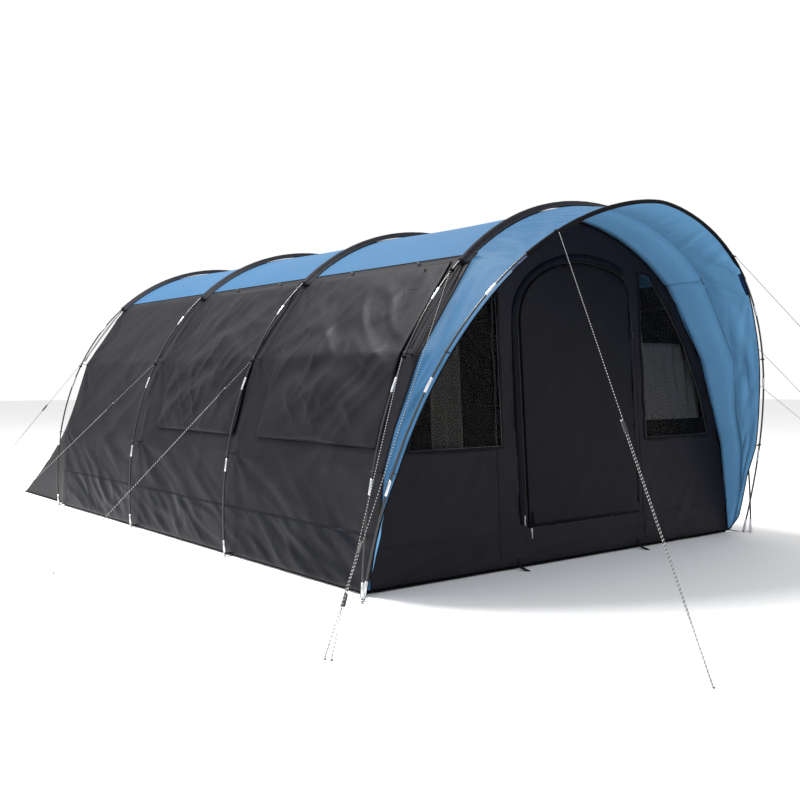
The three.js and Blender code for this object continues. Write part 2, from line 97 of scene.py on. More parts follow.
def area_light(name, place, target, size, power, colour=(1, 1, 1)):
    data = bpy.data.lights.new(name, "AREA")
    data.shape, data.size, data.energy, data.color = "DISK", size, power, colour
    light = bpy.data.objects.new(name, data)
    light.location = place
    light.rotation_mode = "QUATERNION"
    light.rotation_quaternion = (Vector(target) - Vector(place)).to_track_quat("-Z", "Y")
    bpy.context.scene.collection.objects.link(light)


def make_light():
    world = bpy.data.worlds.new("studio")
    bpy.context.scene.world = world
    world.use_nodes = True
    background = world.node_tree.nodes["Background"]
    background.inputs["Color"].default_value = (1, 1, 1, 1)
    background.inputs["Strength"].default_value = 1.0
    area_light("sky_light", (-3.2, 1.2, 9.0), (0, 0, 0.8), 4.0, 1700)
    area_light("left_light", (-9.0, 2.5, 5.5), (0, 0, 1.2), 3.0, 110)
    bpy.context.scene.view_settings.view_transform = "Standard"


# ---- Materials ----------------------------------------------------------------------------------
def principled(name, colour, roughness, metallic=0.0, **sockets):
    material = bpy.data.materials.new(name)
    material.use_nodes = True
    shader = material.node_tree.nodes["Principled BSDF"]
    shader.inputs["Base Color"].default_value = (*colour, 1)
    shader.inputs["Roughness"].default_value = roughness
    shader.inputs["Metallic"].default_value = metallic
    for socket, value in sockets.items():
        shader.inputs[socket.replace("_", " ").title()].default_value = value
    return material, shader


def add_node(material, kind, **values):
    node = material.node_tree.nodes.new(kind)
    for key, value in values.items():
        if key in node.inputs:
            node.inputs[key].default_value = value
        else:
            setattr(node, key, value)
    return node


def link(material, source, target):
    material.node_tree.links.new(source, target)


def shade_range(material, shader, colour, spread, scale, detail=4.0):
    """Lets the base colour drift between a darker and a lighter shade of itself."""
    place = add_node(material, "ShaderNodeTexCoord")
    noise_node = add_node(material, "ShaderNodeTexNoise", Scale=scale, Detail=detail, Roughness=0.6)
    ramp = add_node(material, "ShaderNodeValToRGB")
    ramp.color_ramp.elements[0].position = 0.3
    ramp.color_ramp.elements[1].position = 0.7
    ramp.color_ramp.elements[0].color = (*[c * (1 - spread) for c in colour], 1)
    ramp.color_ramp.elements[1].color = (*[min(c * (1 + spread), 1) for c in colour], 1)
    link(material, place.outputs["Object"], noise_node.inputs["Vector"])
    link(material, noise_node.outputs["Fac"], ramp.inputs["Fac"])
    link(material, ramp.outputs["Color"], shader.inputs["Base Color"])
    return place


def bump(material, height, strength, distance, below=None):
    """Turns a height into a normal, on top of another normal if there is one."""
    node = add_node(material, "ShaderNodeBump", Strength=strength, Distance=distance)
    link(material, height, node.inputs["Height"])
    if below:
        link(material, below, node.inputs["Normal"])
    return node.outputs["Normal"]


WEAVE_SCALE = 160.0       # threads about 2 mm apart
CRINKLE_SCALE = 22.0      # small creases a few centimetres apart
FABRIC_SPECULAR = 0.10    # dull coated cloth


def fabric(name, colour, roughness=0.62, sheen=0.15, spread=0.14, crinkle=0.5, weave=0.015):
    """Coated woven polyester: crossed threads, small creases, and a slightly uneven shade."""
    material, shader = principled(name, colour, roughness, sheen_weight=sheen, sheen_roughness=0.4)
    shader.inputs["Specular IOR Level"].default_value = FABRIC_SPECULAR
    place = shade_range(material, shader, colour, spread, 2.6)
    threads = None
    for direction in ("X", "Y", "Z"):
        wave = add_node(material, "ShaderNodeTexWave", Scale=WEAVE_SCALE, bands_direction=direction)
        link(material, place.outputs["Object"], wave.inputs["Vector"])
        if threads is None:
            threads = wave.outputs["Fac"]
            continue
        total = add_node(material, "ShaderNodeMath", operation="ADD")
        link(material, threads, total.inputs[0])
        link(material, wave.outputs["Fac"], total.inputs[1])
        threads = total.outputs["Value"]
    creases = add_node(material, "ShaderNodeTexNoise", Scale=CRINKLE_SCALE, Detail=3.0, Distortion=0.6)
    link(material, place.outputs["Object"], creases.inputs["Vector"])
    creased = bump(material, creases.outputs["Fac"], crinkle, 0.006)
    link(material, bump(material, threads, weave, 0.0004, creased), shader.inputs["Normal"])
    return material


def worn(name, colour, roughness, metallic=0.0, spread=0.15, grain=180.0, depth=0.0002, **sockets):
    """Plastic, resin or metal with a fine grain and small differences in shade."""
    material, shader = principled(name, colour, roughness, metallic, **sockets)
    place = shade_range(material, shader, colour, spread, 40.0)
    surface = add_node(material, "ShaderNodeTexNoise", Scale=grain, Detail=4.0)
    link(material, place.outputs["Object"], surface.inputs["Vector"])
    link(material, bump(material, surface.outputs["Fac"], 0.3, depth), shader.inputs["Normal"])
    return material


FLECK_LENGTH = 0.016      # one dark and one light stretch of the rope


def rope_material():
    """Dark cord with a light fleck woven in: the rope_run attribute is the length along the rope."""
    material, shader = principled("rope_weave", (0.02, 0.02, 0.02), 0.7)
    run = add_node(material, "ShaderNodeAttribute", attribute_name="rope_run")
    turns = add_node(material, "ShaderNodeMath", operation="MULTIPLY")
    turns.inputs[1].default_value = 1 / FLECK_LENGTH
    part = add_node(material, "ShaderNodeMath", operation="FRACT")
    ramp = add_node(material, "ShaderNodeValToRGB")
    ramp.color_ramp.interpolation = "CONSTANT"
    ramp.color_ramp.elements[0].color = (0.022, 0.022, 0.024, 1)
    ramp.color_ramp.elements[1].position = 0.62
    ramp.color_ramp.elements[1].color = (0.42, 0.42, 0.41, 1)
    link(material, run.outputs["Fac"], turns.inputs[0])
    link(material, turns.outputs["Value"], part.inputs[0])
    link(material, part.outputs["Value"], ramp.inputs["Fac"])
    link(material, ramp.outputs["Color"], shader.inputs["Base Color"])
    return material


def film_material():
    """Clear flexible window film, a little rippled."""
    material, shader = principled("clear_film", (0.05, 0.052, 0.055), 0.2, alpha=0.05)
    place = add_node(material, "ShaderNodeTexCoord")
    ripple = add_node(material, "ShaderNodeTexNoise", Scale=9.0, Detail=2.0, Distortion=1.2)
    link(material, place.outputs["Object"], ripple.inputs["Vector"])
    link(material, bump(material, ripple.outputs["Fac"], 0.35, 0.01), shader.inputs["Normal"])
    return material


def make_materials():
    return {
        "blue": fabric("blue_fabric", (0.0235, 0.086, 0.172), 0.55, 0.03, 0.04, 0.3),
        # Much lighter than blue_fabric: painted light on the canopy's inner face, standing in for daylight
        # shining through it.
        "inside_painted_light": fabric("blue_lining", (0.170, 0.420, 0.720), 0.6, 0.02, 0.04, 0.3),
        "charcoal": fabric("charcoal_fabric", (0.0062, 0.0060, 0.0088), 0.50, 0.003, 0.08, 0.25),
        "tub": fabric("tub_fabric", (0.0020, 0.0026, 0.0056), 0.42, 0.0, 0.12, 0.35),
        "black": fabric("black_fabric", (0.0105, 0.0100, 0.0140), 0.55, 0.0, 0.1, 0.35),
        "door": fabric("door_fabric", (0.0065, 0.0063, 0.0092), 0.55, 0.0, 0.1, 0.3),
        "sleeve": fabric("sleeve_fabric", (0.0018, 0.0024, 0.0060), 0.6, 0.0, 0.1, 0.5),
        "navy": fabric("navy_fabric", (0.010, 0.025, 0.080), 0.6, 0.0, 0.1, 0.4),
        "webbing": fabric("webbing", (0.004, 0.004, 0.005), 0.7, 0.0, 0.1, 0.2, 0.1),
        "stitch": fabric("stitching", (0.002, 0.002, 0.003), 0.8, 0.0, 0.1, 0.1),
        "curtain": fabric("curtain_fabric", (0.045, 0.045, 0.048), 0.8, 0.0, 0.12, 0.0, 0.0),
        "drape": fabric("drape_fabric", (0.022, 0.019, 0.016), 0.8, 0.0, 0.15, 0.0, 0.0),
        "ground": fabric("ground_fabric", (0.012, 0.013, 0.016), 0.55, 0.0, 0.12, 0.4),
        # Light grey line round the front windows: a painted highlight where the film's edge catches the
        # light.
        "edge_painted_highlight": fabric("edge_painted_highlight", (0.075, 0.075, 0.080), 0.6, 0.0, 0.1, 0.1),
        "film": film_material(),
        "rope": rope_material(),
        "pole": worn("fibreglass_rod", (0.010, 0.010, 0.011), 0.3, coat_weight=0.2),
        "steel": worn("steel", (0.62, 0.63, 0.65), 0.28, 1.0, 0.08),
        "plastic": worn("black_plastic", (0.012, 0.012, 0.013), 0.45),
        "zip": worn("zip_metal", (0.30, 0.30, 0.31), 0.35, 0.9),
        "coil": worn("zip_coil", (0.014, 0.014, 0.016), 0.5),
        "floor": worn("floor", (0.82, 0.82, 0.82), 0.9, 0.0, 0.01, 20.0),
    }


# ---- Mesh helpers -------------------------------------------------------------------------------
def new_piece(name, points, faces, material, smooth=True):
    mesh = bpy.data.meshes.new(name)
    mesh.from_pydata([tuple(p) for p in points], [], faces)
    mesh.validate()
    mesh.materials.append(material)
    if smooth:
        mesh.shade_smooth()
    piece = bpy.data.objects.new(name, mesh)
    bpy.context.scene.collection.objects.link(piece)
    return piece


def thicken(piece, thickness=0.0015):
    solid = piece.modifiers.new("thickness", "SOLIDIFY")
    solid.thickness, solid.offset, solid.use_even_offset = thickness, -1, False
    return piece


def finish(piece, body, slot, *nodes):
    """Rides on a body and stands for CAD nodes. The slot is not used."""
    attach(piece, body)
    if nodes:
        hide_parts(*nodes)
    return piece


def grid_piece(name, us, vs, place, material, drop=None):
    """A sheet of quads over two rising lists of numbers. drop(u, v) leaves out a face by its middle."""
    points = [place(u, v) for v in vs for u in us]
    width = len(us)
    faces = []
    for j in range(len(vs) - 1):
        for i in range(width - 1):
            if drop and drop((us[i] + us[i + 1]) / 2, (vs[j] + vs[j + 1]) / 2):
                continue
            a = j * width + i
            faces.append((a, a + 1, a + width + 1, a + width))
    used = sorted({k for face in faces for k in face})
    new = {k: n for n, k in enumerate(used)}
    faces = [tuple(new[k] for k in face) for face in faces]
    return new_piece(name, [points[k] for k in used], faces, material)


def spaced(low, high, step, *marks):
    """Rising numbers about a step apart that pass through each mark between."""
    stops = sorted({low, high, *[m for m in marks if low < m < high]})
    values = [low]
    for a, b in zip(stops, stops[1:]):
        count = max(1, round((b - a) / step))
        values += [a + (b - a) * k / count for k in range(1, count + 1)]
    return values


def circle(radius, sides):
    turns = [2 * math.pi * k / sides for k in range(sides)]
    return [(radius * math.cos(t), radius * math.sin(t)) for t in turns]


def rectangle(width, height):
    w, h = width / 2, height / 2
    return [(-w, -h), (w, -h), (w, h), (-w, h)]


def sweep_points(path, section, across=None, change=None):
    """Rings of a section along a path: (points, faces). across is the section's second direction."""
    path = [Vector(p) for p in path]
    points, faces = [], []
    last = None
    for i, p in enumerate(path):
        ahead = (path[min(i + 1, len(path) - 1)] - path[max(i - 1, 0)]).normalized()
        side = Vector(across) if across else last
        if side is None:
            side = Vector((0, 0, 1)) if abs(ahead.z) < 0.9 else Vector((1, 0, 0))
        side = (side - ahead * side.dot(ahead)).normalized()
        last = side
        out = side.cross(ahead)
        shaped = change(i / (len(path) - 1), section) if change else section
        points += [p + out * a + side * b for a, b in shaped]
    n = len(section)
    for i in range(len(path) - 1):
        for k in range(n):
            a, b = i * n + k, i * n + (k + 1) % n
            faces.append((a, b, b + n, a + n))
    faces.append(tuple(reversed(range(n))))
    faces.append(tuple(range((len(path) - 1) * n, len(path) * n)))
    return points, faces


def sweep(name, path, section, material, across=None, change=None, smooth=True):
    points, faces = sweep_points(path, section, across, change)
    return new_piece(name, points, faces, material, smooth)


def ring_points(centre, axis, radius, wire, steps=20, sides=8):
    """A closed wire ring round an axis: (points, faces)."""
    axis = Vector(axis).normalized()
    first = axis.orthogonal().normalized()
    second = axis.cross(first)
    points, faces = [], []
    for i in range(steps):
        turn = 2 * math.pi * i / steps
        out = first * math.cos(turn) + second * math.sin(turn)
        for a, b in circle(wire, sides):
            points.append(Vector(centre) + out * (radius + a) + axis * b)
    for i in range(steps):
        for k in range(sides):
            a, b = i * sides + k, i * sides + (k + 1) % sides
            c, d = (i + 1) % steps * sides + k, (i + 1) % steps * sides + (k + 1) % sides
            faces.append((a, c, d, b))
    return points, faces


def joined(name, parts, material, smooth=True):
    """One piece from several (points, faces) pairs."""
    points, faces = [], []
    for part_points, part_faces in parts:
        start = len(points)
        points += part_points
        faces += [tuple(k + start for k in face) for face in part_faces]
    return new_piece(name, points, faces, material, smooth)


def lerp(a, b, share):
    return a + (b - a) * share


# ---- The tent's shape ---------------------------------------------------------------------------
ROOF_INSET = 0.026
CLIP_INSET = 0.050
HEM_INSET = 0.036
HEM_HEIGHT = 0.035
TUCK = 0.054              # below the hem height the fabric curls in under the tent by this much
CLIP_HEIGHTS = (0.600, 1.150)
SLEEVE_END = 1.610
PORCH_SLEEVE_END = 1.615
SEAM_HEIGHT = 1.650
TUB_HEIGHT = 0.290
SKIN_FRONT = -0.055
SKIN_REAR = 4.250
REAR_CORNER = (1.453, 5.394)
POLE_RADIUS = 0.0055
SAMPLES = 400


def bezier_point(corners, t):
    """The point at t on the cubic curve with these four corners."""
    weights = ((1 - t) ** 3, 3 * (1 - t) ** 2 * t, 3 * (1 - t) * t * t, t ** 3)
    return tuple(sum(w * c[k] for w, c in zip(weights, corners)) for k in (0, 1))


class Hoop:
    """One bent pole. share runs from 0 at the foot to 1 at the top of one side."""

    def __init__(self, half_width, height, bulge, knee, shoulder, y_foot, y_top):
        self.corners = [(half_width, 0), (half_width + bulge, knee), (shoulder, height), (0, height)]
        self.height, self.y_foot, self.y_top = height, y_foot, y_top
        self.xs, self.zs = zip(*[self.half(k / SAMPLES) for k in range(SAMPLES + 1)])

    def half(self, share):
        return bezier_point(self.corners, share)

    def y(self, z):
        return lerp(self.y_foot, self.y_top, z / self.height)

    def x(self, z):
        return float(np.interp(z, self.zs, self.xs))

    def share(self, z):
        return float(np.interp(z, self.zs, np.linspace(0, 1, SAMPLES + 1)))

    def point(self, side, share):
        x, z = self.half(share)
        return at(side * x, self.y(z), z)

    def place(self, side, height):
        """A point of the pole at a height, and the way the pole goes on from there."""
        share = self.share(height)
        point = self.point(side, share)
        return point, (self.point(side, share + 0.01) - point).normalized()

    def ridge(self, start, steps):
        """Points from one side over the top to the other, starting at a share of each half."""
        turns = np.linspace(-1, 1, steps)
        return [self.point(math.copysign(1, t), 1 - abs(t) * (1 - start)) for t in turns]


TUNNEL_SHAPE = (1.545, 2.000, 0.103, 1.207, 0.917)
FRONT_SHAPE = (1.602, 2.000, -0.002, 1.207, 0.937)
PORCH_SHAPE = (1.570, 1.951, 0.007, 1.807, 0.200)
HOOPS = {name: Hoop(*TUNNEL_SHAPE, y, y) for name, y in HOOP_Y.items()}
HOOPS["front"] = Hoop(*FRONT_SHAPE, 0, 0)
HOOPS["porch"] = Hoop(*PORCH_SHAPE, 0.036, -0.449)
TUNNEL = HOOPS["second"]


def curl(z):
    """From 0 at the hem height to 1 on the ground, along a quarter circle."""
    low = min(max(1 - z / HEM_HEIGHT, 0.0), 1.0)
    return 1 - math.sqrt(1 - low * low)


@functools.lru_cache(maxsize=None)
def wall_x(z):
    """Half width of the fabric wall: straight from strap to strap, inside the poles."""
    heights = (HEM_HEIGHT, *CLIP_HEIGHTS, SLEEVE_END, SEAM_HEIGHT)
    insets = (HEM_INSET, CLIP_INSET, CLIP_INSET, ROOF_INSET + 0.004, ROOF_INSET + 0.004)
    return float(np.interp(z, heights, [TUNNEL.x(h) - i for h, i in zip(heights, insets)])) - TUCK * curl(z)


def front_edge(z):
    """How far forward the tunnel's wall reaches at a height."""
    return float(np.interp(z, (0, 0.03, 0.3, 0.8, 1.15), (0.130, 0.085, 0.005, -0.005, SKIN_FRONT)))


def smooth(value, low, high):
    share = min(max((value - low) / (high - low), 0.0), 1.0)
    return share * share * (3 - 2 * share)


def arch_point(share):
    """Half of the roof's arch, as (x, z)."""
    (foot, _), (knee, rise), (shoulder, top), _ = TUNNEL.corners
    top -= ROOF_INSET
    return bezier_point([(foot - ROOF_INSET, 0), (knee - ROOF_INSET, rise), (shoulder, top), (0, top)], share)


def bay_share(y):
    """How far y lies between its two hoops, and how wide the bay is."""
    stops = sorted(HOOP_Y.values())
    for a, b in zip(stops, stops[1:]):
        if a <= y <= b:
            return (y - a) / (b - a), b - a
    return 0.0, 1.0


def folds(p, q, seed, angle, length, width):
    """Long soft folds in one direction over a sheet, from -1 to 1."""
    c, s = math.cos(angle), math.sin(angle)
    along, over = (p * c + q * s) / length, (q * c - p * s) / width
    return noise.noise(Vector((along, over, seed * 7.3)))


def creases(p, q, seed, angle, length, width):
    """Sharp-edged creases between smooth stretches, from 0 to 1."""
    bend = 0.35 * width * folds(p, q, seed + 40, angle, 0.5, 0.5)
    ridge = abs(folds(p + bend, q + bend, seed, angle, length, width))
    return max(0.0, 1 - 3.2 * ridge) ** 1.6


def fan(p, q, p0, q0, seed, count, reach):
    """Creases that spread from one point where the cloth is held."""
    away = math.hypot(p - p0, q - q0)
    turn = math.atan2(q - q0, p - p0)
    wave = noise.noise(Vector((turn * count, seed * 3.1, away * 0.8)))
    return wave * math.exp(-away / reach) * smooth(away, 0.0, 0.10)


# ---- Guy ropes ----------------------------------------------------------------------------------
ROPE_RADIUS = 0.0015
ROPE_STAND_OFF = 0.012
PORCH_ROPE_STAND_OFF = 0.018
ROPE_END_HEIGHT = 0.006
RUNNER_LENGTH = 0.052
RUNNER_SPACING = 0.008
# name: hoop, height on the hoop, and where the rope meets the ground
ROPES = {
    "rear": ("rear", 1.130, (2.300, 4.250)),
    "middle": ("middle", 1.130, (2.500, 3.000)),
    "second": ("second", 1.130, (2.496, 1.525)),
    "front_low": ("front", 1.130, (2.227, -0.665)),
    "front_high": ("front", 1.560, (2.240, -0.640)),
    "porch": ("porch", 1.730, (1.413, -1.708)),
}
RIGHT_PEGS = {"front_low": (2.780, -0.665), "front_high": (2.795, -0.640)}


def mark_run(piece, values):
    """Writes the rope_run attribute that the rope's flecks follow."""
    piece.data.attributes.new("rope_run", "FLOAT", "POINT").data.foreach_set("value", values)


def rope_tube(name, start, end, material):
    """A straight mesh tube that carries the length along the rope."""
    path = [start.lerp(end, k / 20) for k in range(21)]
    piece = sweep(name, path, circle(ROPE_RADIUS, 8), material)
    mark_run(piece, [(v.co - start).length for v in piece.data.vertices])
    return piece, path


def knot(name, place, along, size, material, body):
    """Three turns of cord pulled tight."""
    parts = [ring_points(place + along * size * k, along + Vector((0.3 * k, 0.2, 0)),
                         size * 0.62, size * 0.42, 14, 6) for k in (-0.55, 0, 0.55)]
    piece = joined(name, parts, material)
    mark_run(piece, [v.co.z for v in piece.data.vertices])
    return finish(piece, body, "rope")


def guy_rope(label, side, hoop_name, height, peg, look):
    hoop = HOOPS[hoop_name]
    x, y = hoop.x(height), hoop.y(height)
    if hoop_name == "porch":
        start = at(side * x, y - PORCH_ROPE_STAND_OFF, height)
    else:
        start = at(side * (x + ROPE_STAND_OFF), y, height)
    end = at(side * peg[0], peg[1], ROPE_END_HEIGHT)
    down = (end - start).normalized()
    across = Vector((down.y, -down.x, 0)).normalized()
    runner, body = f"rope_runner_{label}", f"runner_{label}"
    centre = middle(runner)
    centre -= across * (centre - start).dot(across)
    main, route = rope_tube(f"rope_{label}", start, end, look["rope"])
    finish(main, ROOT, "rope", f"guy_rope_{label}")
    runner_face = centre + down * (RUNNER_LENGTH / 2 + 0.001) + across * RUNNER_SPACING
    back_end = runner_face - down * (RUNNER_LENGTH + 0.004)
    back_start = end + across * 0.004 - down * 0.004
    back, back_route = rope_tube(f"rope_return_{label}", back_start, back_end, look["rope"])
    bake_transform(back)
    peg_knot = knot(f"rope_knot_{label}", end - down * 0.004, down, 0.0052, look["rope"], ROOT)
    stop = centre - down * (RUNNER_LENGTH / 2 + 0.006) + across * RUNNER_SPACING
    stop_knot = knot(f"runner_knot_{label}", stop, down, 0.0045, look["rope"], body)
    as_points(route)
    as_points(back_route)
    return start


def make_ropes(look):
    for name, (hoop_name, height, peg) in ROPES.items():
        for label, side in SIDES:
            far_peg = RIGHT_PEGS.get(name, peg) if side > 0 else peg
            start = guy_rope(f"{label}_{name}", side, hoop_name, height, far_peg, look)
            pole, ahead = HOOPS[hoop_name].place(side, height)
            parts = [ring_points(pole + ahead * 0.004 * k, ahead, 0.0095, 0.002, 18, 6) for k in (-1, 0, 1)]
            parts.append(sweep_points([pole.lerp(start, 0.7), start.lerp(pole, -0.3)], circle(0.0032, 8)))
            finish(joined(f"rope_tie_{label}_{name}", parts, look["webbing"]), ROOT, "rope")


# ---- Poles, ferrules, feet, straps ----------------------------------------------------------------
FERRULE_HEIGHTS = (0.530, 1.000, 1.440)
FERRULE_LENGTH = 0.075
FERRULE_RADIUS = 0.0072
FOOT_TUBE_HEIGHT = 0.095


def narrow_ends(share, section):
    grow = 0.86 if share in (0, 1) else 1
    return [(a * grow, b * grow) for a, b in section]


def pole_pieces(name, look):
    hoop = HOOPS[name]
    rod = sweep(f"rod_{name}", hoop.ridge(0.0012, 130), circle(POLE_RADIUS, 12), look["pole"])
    finish(rod, ROOT, "pole", f"pole_{name}")
    for label, side in SIDES:
        parts = []
        for height in FERRULE_HEIGHTS:
            centre, ahead = hoop.place(side, height)
            low, high = centre - ahead * FERRULE_LENGTH / 2, centre + ahead * FERRULE_LENGTH / 2
            path = [low, low.lerp(high, 0.04), low.lerp(high, 0.96), high]
            parts.append(sweep_points(path, circle(FERRULE_RADIUS, 14), change=narrow_ends))
        finish(joined(f"ferrules_{label}_{name}", parts, look["steel"]), ROOT, "metal_fitting")


def foot_pieces(name, look):
    """A steel tube over the pole's end, and a ring and pin that hold it to a webbing tab."""
    hoop = HOOPS[name]
    for label, side in SIDES:
        low, high = hoop.point(side, 0.003), hoop.point(side, hoop.share(FOOT_TUBE_HEIGHT))
        tube = sweep_points([low, low.lerp(high, 0.5), high], circle(0.0078, 14))
        hem = at(side * (wall_x(0.02) + 0.003), max(hoop.y(0), front_edge(0.02) + 0.015), 0.018)
        bar_end = low.lerp(hem, 0.55)
        bar_end.z = 0.010
        base = Vector((low.x, low.y, 0.010))
        pin_path = [base + Vector((side * 0.012, 0, 0)), base.lerp(bar_end, 0.5), bar_end]
        pin = sweep_points(pin_path, circle(0.0035, 8))
        ring = ring_points(base + Vector((side * 0.004, 0, 0.004)), (0.3, 0.1, 1), 0.0125, 0.0022)
        cap = sweep_points([low + Vector((0, 0, -0.001)), low + Vector((0, 0, 0.006))], circle(0.0095, 12))
        finish(joined(f"foot_{label}_{name}", [tube, pin, ring, cap], look["steel"]), ROOT, "metal_fitting")
        tab_path = [bar_end + Vector((side * 0.006, 0, 0)), bar_end.lerp(hem, 0.5), hem,
                    hem + Vector((side * 0.001, 0, 0.045))]
        tab = sweep(f"foot_tab_{label}_{name}", tab_path, rectangle(0.0025, 0.024), look["webbing"],
                    across=(0, 1, 0), smooth=False)
        finish(tab, ROOT, "sleeve_fabric")


def clip_straps(name, look):
    """Webbing straps that hook the wall, or the canopy's edge, to the pole at two heights."""
    hoop = HOOPS[name]
    for label, side in SIDES:
        straps, hooks = [], []
        for height in CLIP_HEIGHTS:
            pole, ahead = hoop.place(side, height)
            if name == "porch":
                x, y = hoop.x(height) - edge_inset(side, height), hoop.y(height) - 0.012
            else:
                x, y = wall_x(height) + 0.003, hoop.y(height) + 0.012
            end = at(side * x, y, height - 0.004)
            hooks.append(ring_points(pole, ahead, 0.0085, 0.003, 16, 8))
            start = pole.lerp(end, 0.16)
            strap = [start, start.lerp(end, 0.5) + Vector((0, 0, -0.003)), end]
            straps.append(sweep_points(strap, rectangle(0.0022, 0.016), across=(0, 1, 0)))
            if name in ("porch", "front"):
                continue
            tail = [end, end + Vector((-side * 0.001, 0, -0.018)), end + Vector((-side * 0.0005, 0, -0.055))]
            straps.append(sweep_points(tail, rectangle(0.0022, 0.022), across=(0, 1, 0)))
        finish(joined(f"straps_{label}_{name}", straps, look["webbing"], smooth=False), ROOT, "sleeve_fabric")
        finish(joined(f"strap_hooks_{label}_{name}", hooks, look["plastic"]), ROOT, "runner_plastic")


# Sections of a sleeve, out from the pole and across it: a tube with a sewn flange on both sides.
SLEEVE_SECTION = [
    (-0.020, -0.046), (-0.016, -0.036), (-0.007, -0.023), (0.001, -0.0155), (0.0090, -0.005),
    (0.0090, 0.005), (0.001, 0.0155), (-0.007, 0.023), (-0.016, 0.036), (-0.020, 0.046), (-0.021, 0.0),
]
PORCH_SECTION = [
    (-0.011, -0.005), (-0.004, -0.0075), (0.003, -0.0075), (0.0075, -0.003),
    (0.0075, 0.004), (0.003, 0.009), (-0.006, 0.013), (-0.012, 0.013),
]


def pole_sleeve(name, look):
    hoop = HOOPS[name]
    porch = name == "porch"
    path = hoop.ridge(hoop.share(PORCH_SLEEVE_END if porch else SLEEVE_END), 160)
    seed = len(name)

    def rumple(share, section):
        shift = 0.0012 * noise.noise(Vector((share * 110, seed, 0)))
        swell = 1 + 0.09 * noise.noise(Vector((share * 50, seed, 4)))
        return [(a * (1 if a < 0 else swell), b * swell + (shift if a > 0 else 0)) for a, b in section]

    across = (0, -0.97, -0.24) if porch else (0, -1, 0)
    section = PORCH_SECTION if porch else SLEEVE_SECTION
    sleeve = sweep(f"sleeve_{name}", path, section, look["sleeve"], across=across, change=rumple)
    return finish(sleeve, ROOT, "sleeve_fabric", f"pole_sleeve_{name}")


def slack_webbing(name, look):
    """Three loose bands from the sleeve's end down to the upper strap."""
    hoop = HOOPS[name]
    for label, side in SIDES:
        parts = []
        for offset, sway in ((0.016, 0.006), (-0.012, 0.010), (0.004, -0.008)):
            path = []
            for k in range(15):
                z = lerp(SLEEVE_END + 0.01, CLIP_HEIGHTS[1] + 0.02, k / 14)
                slack = math.sin(math.pi * k / 14)
                inward = Vector((-side * (0.016 + 0.018 * slack), offset + sway * slack * 2, 0))
                path.append(hoop.point(side, hoop.share(z)) + inward)
            parts.append(sweep_points(path, rectangle(0.0015, 0.007), across=(0, 1, 0)))
        piece = joined(f"slack_webbing_{label}_{name}", parts, look["webbing"], smooth=False)
        finish(piece, ROOT, "sleeve_fabric")


# ---- Tunnel fabric ------------------------------------------------------------------------------
STEP = 0.022              # between the points of the side walls
COVER_STEP = 0.0155
WALL_SEEDS = {-1: 1, 1: 5}
COVER_SEEDS = {"front": 2, "rear": 8}
COVERS = {"front": (0.092, 1.242), "rear": (1.500, 2.573)}
COVER_TOP, COVER_LOW, COVER_STAND_OFF = 1.620, 0.700, 0.009
WINDOW_LOW, WINDOW_TOP, WINDOW_MARGIN = 0.800, 1.480, 0.090


def side_relief(y, z, seed):
    """How far the side wall stands out of its plain shape, in metres."""
    share, width = bay_share(y)
    slack = math.sin(math.pi * share) if width > 1 else 0.2
    lift = math.sin(math.pi * min(max(z / SEAM_HEIGHT, 0), 1))
    sag = -0.020 * slack * lift
    held = sum(fan(y, z, hoop_y, height, seed + height, 3.2, 0.26)
               for hoop_y in HOOP_Y.values() for height in (*CLIP_HEIGHTS, SLEEVE_END)
               if math.hypot(y - hoop_y, z - height) < 0.8)
    broad = 0.013 * folds(y, z, seed, 0.50, 0.8, 0.15) + 0.008 * folds(y, z, seed + 3, -0.5, 0.8, 0.14)
    sharp = 0.006 * creases(y, z, seed + 6, -0.65, 0.6, 0.20) * smooth(z, 0.3, 0.6)
    low = smooth(z, 0.75, 0.15)
    tub = 0.009 * folds(y, z, seed + 9, 0.55, 0.34, 0.075)
    tub += 0.008 * creases(y, z, seed + 12, 0.42, 0.40, 0.10)
    loose = (broad + sharp + tub * low) * (0.3 + 0.7 * slack) + 0.016 * held
    loose *= min(1.0, z / 0.08) * min(1.0, (SEAM_HEIGHT - z) / 0.10)
    return (sag + loose) * smooth(y, 0.0, 0.25)


FRONT_BLEND = 0.30        # in front of here the wall's upright lines lean over to its front edge


def side_place(side, seed, out=0.0):
    def place(y, z):
        if y < FRONT_BLEND:
            y = lerp(front_edge(z), FRONT_BLEND, (y - SKIN_FRONT) / (FRONT_BLEND - SKIN_FRONT))
        return at(side * (wall_x(z) + side_relief(y, z, seed) + out), y, z)
    return place


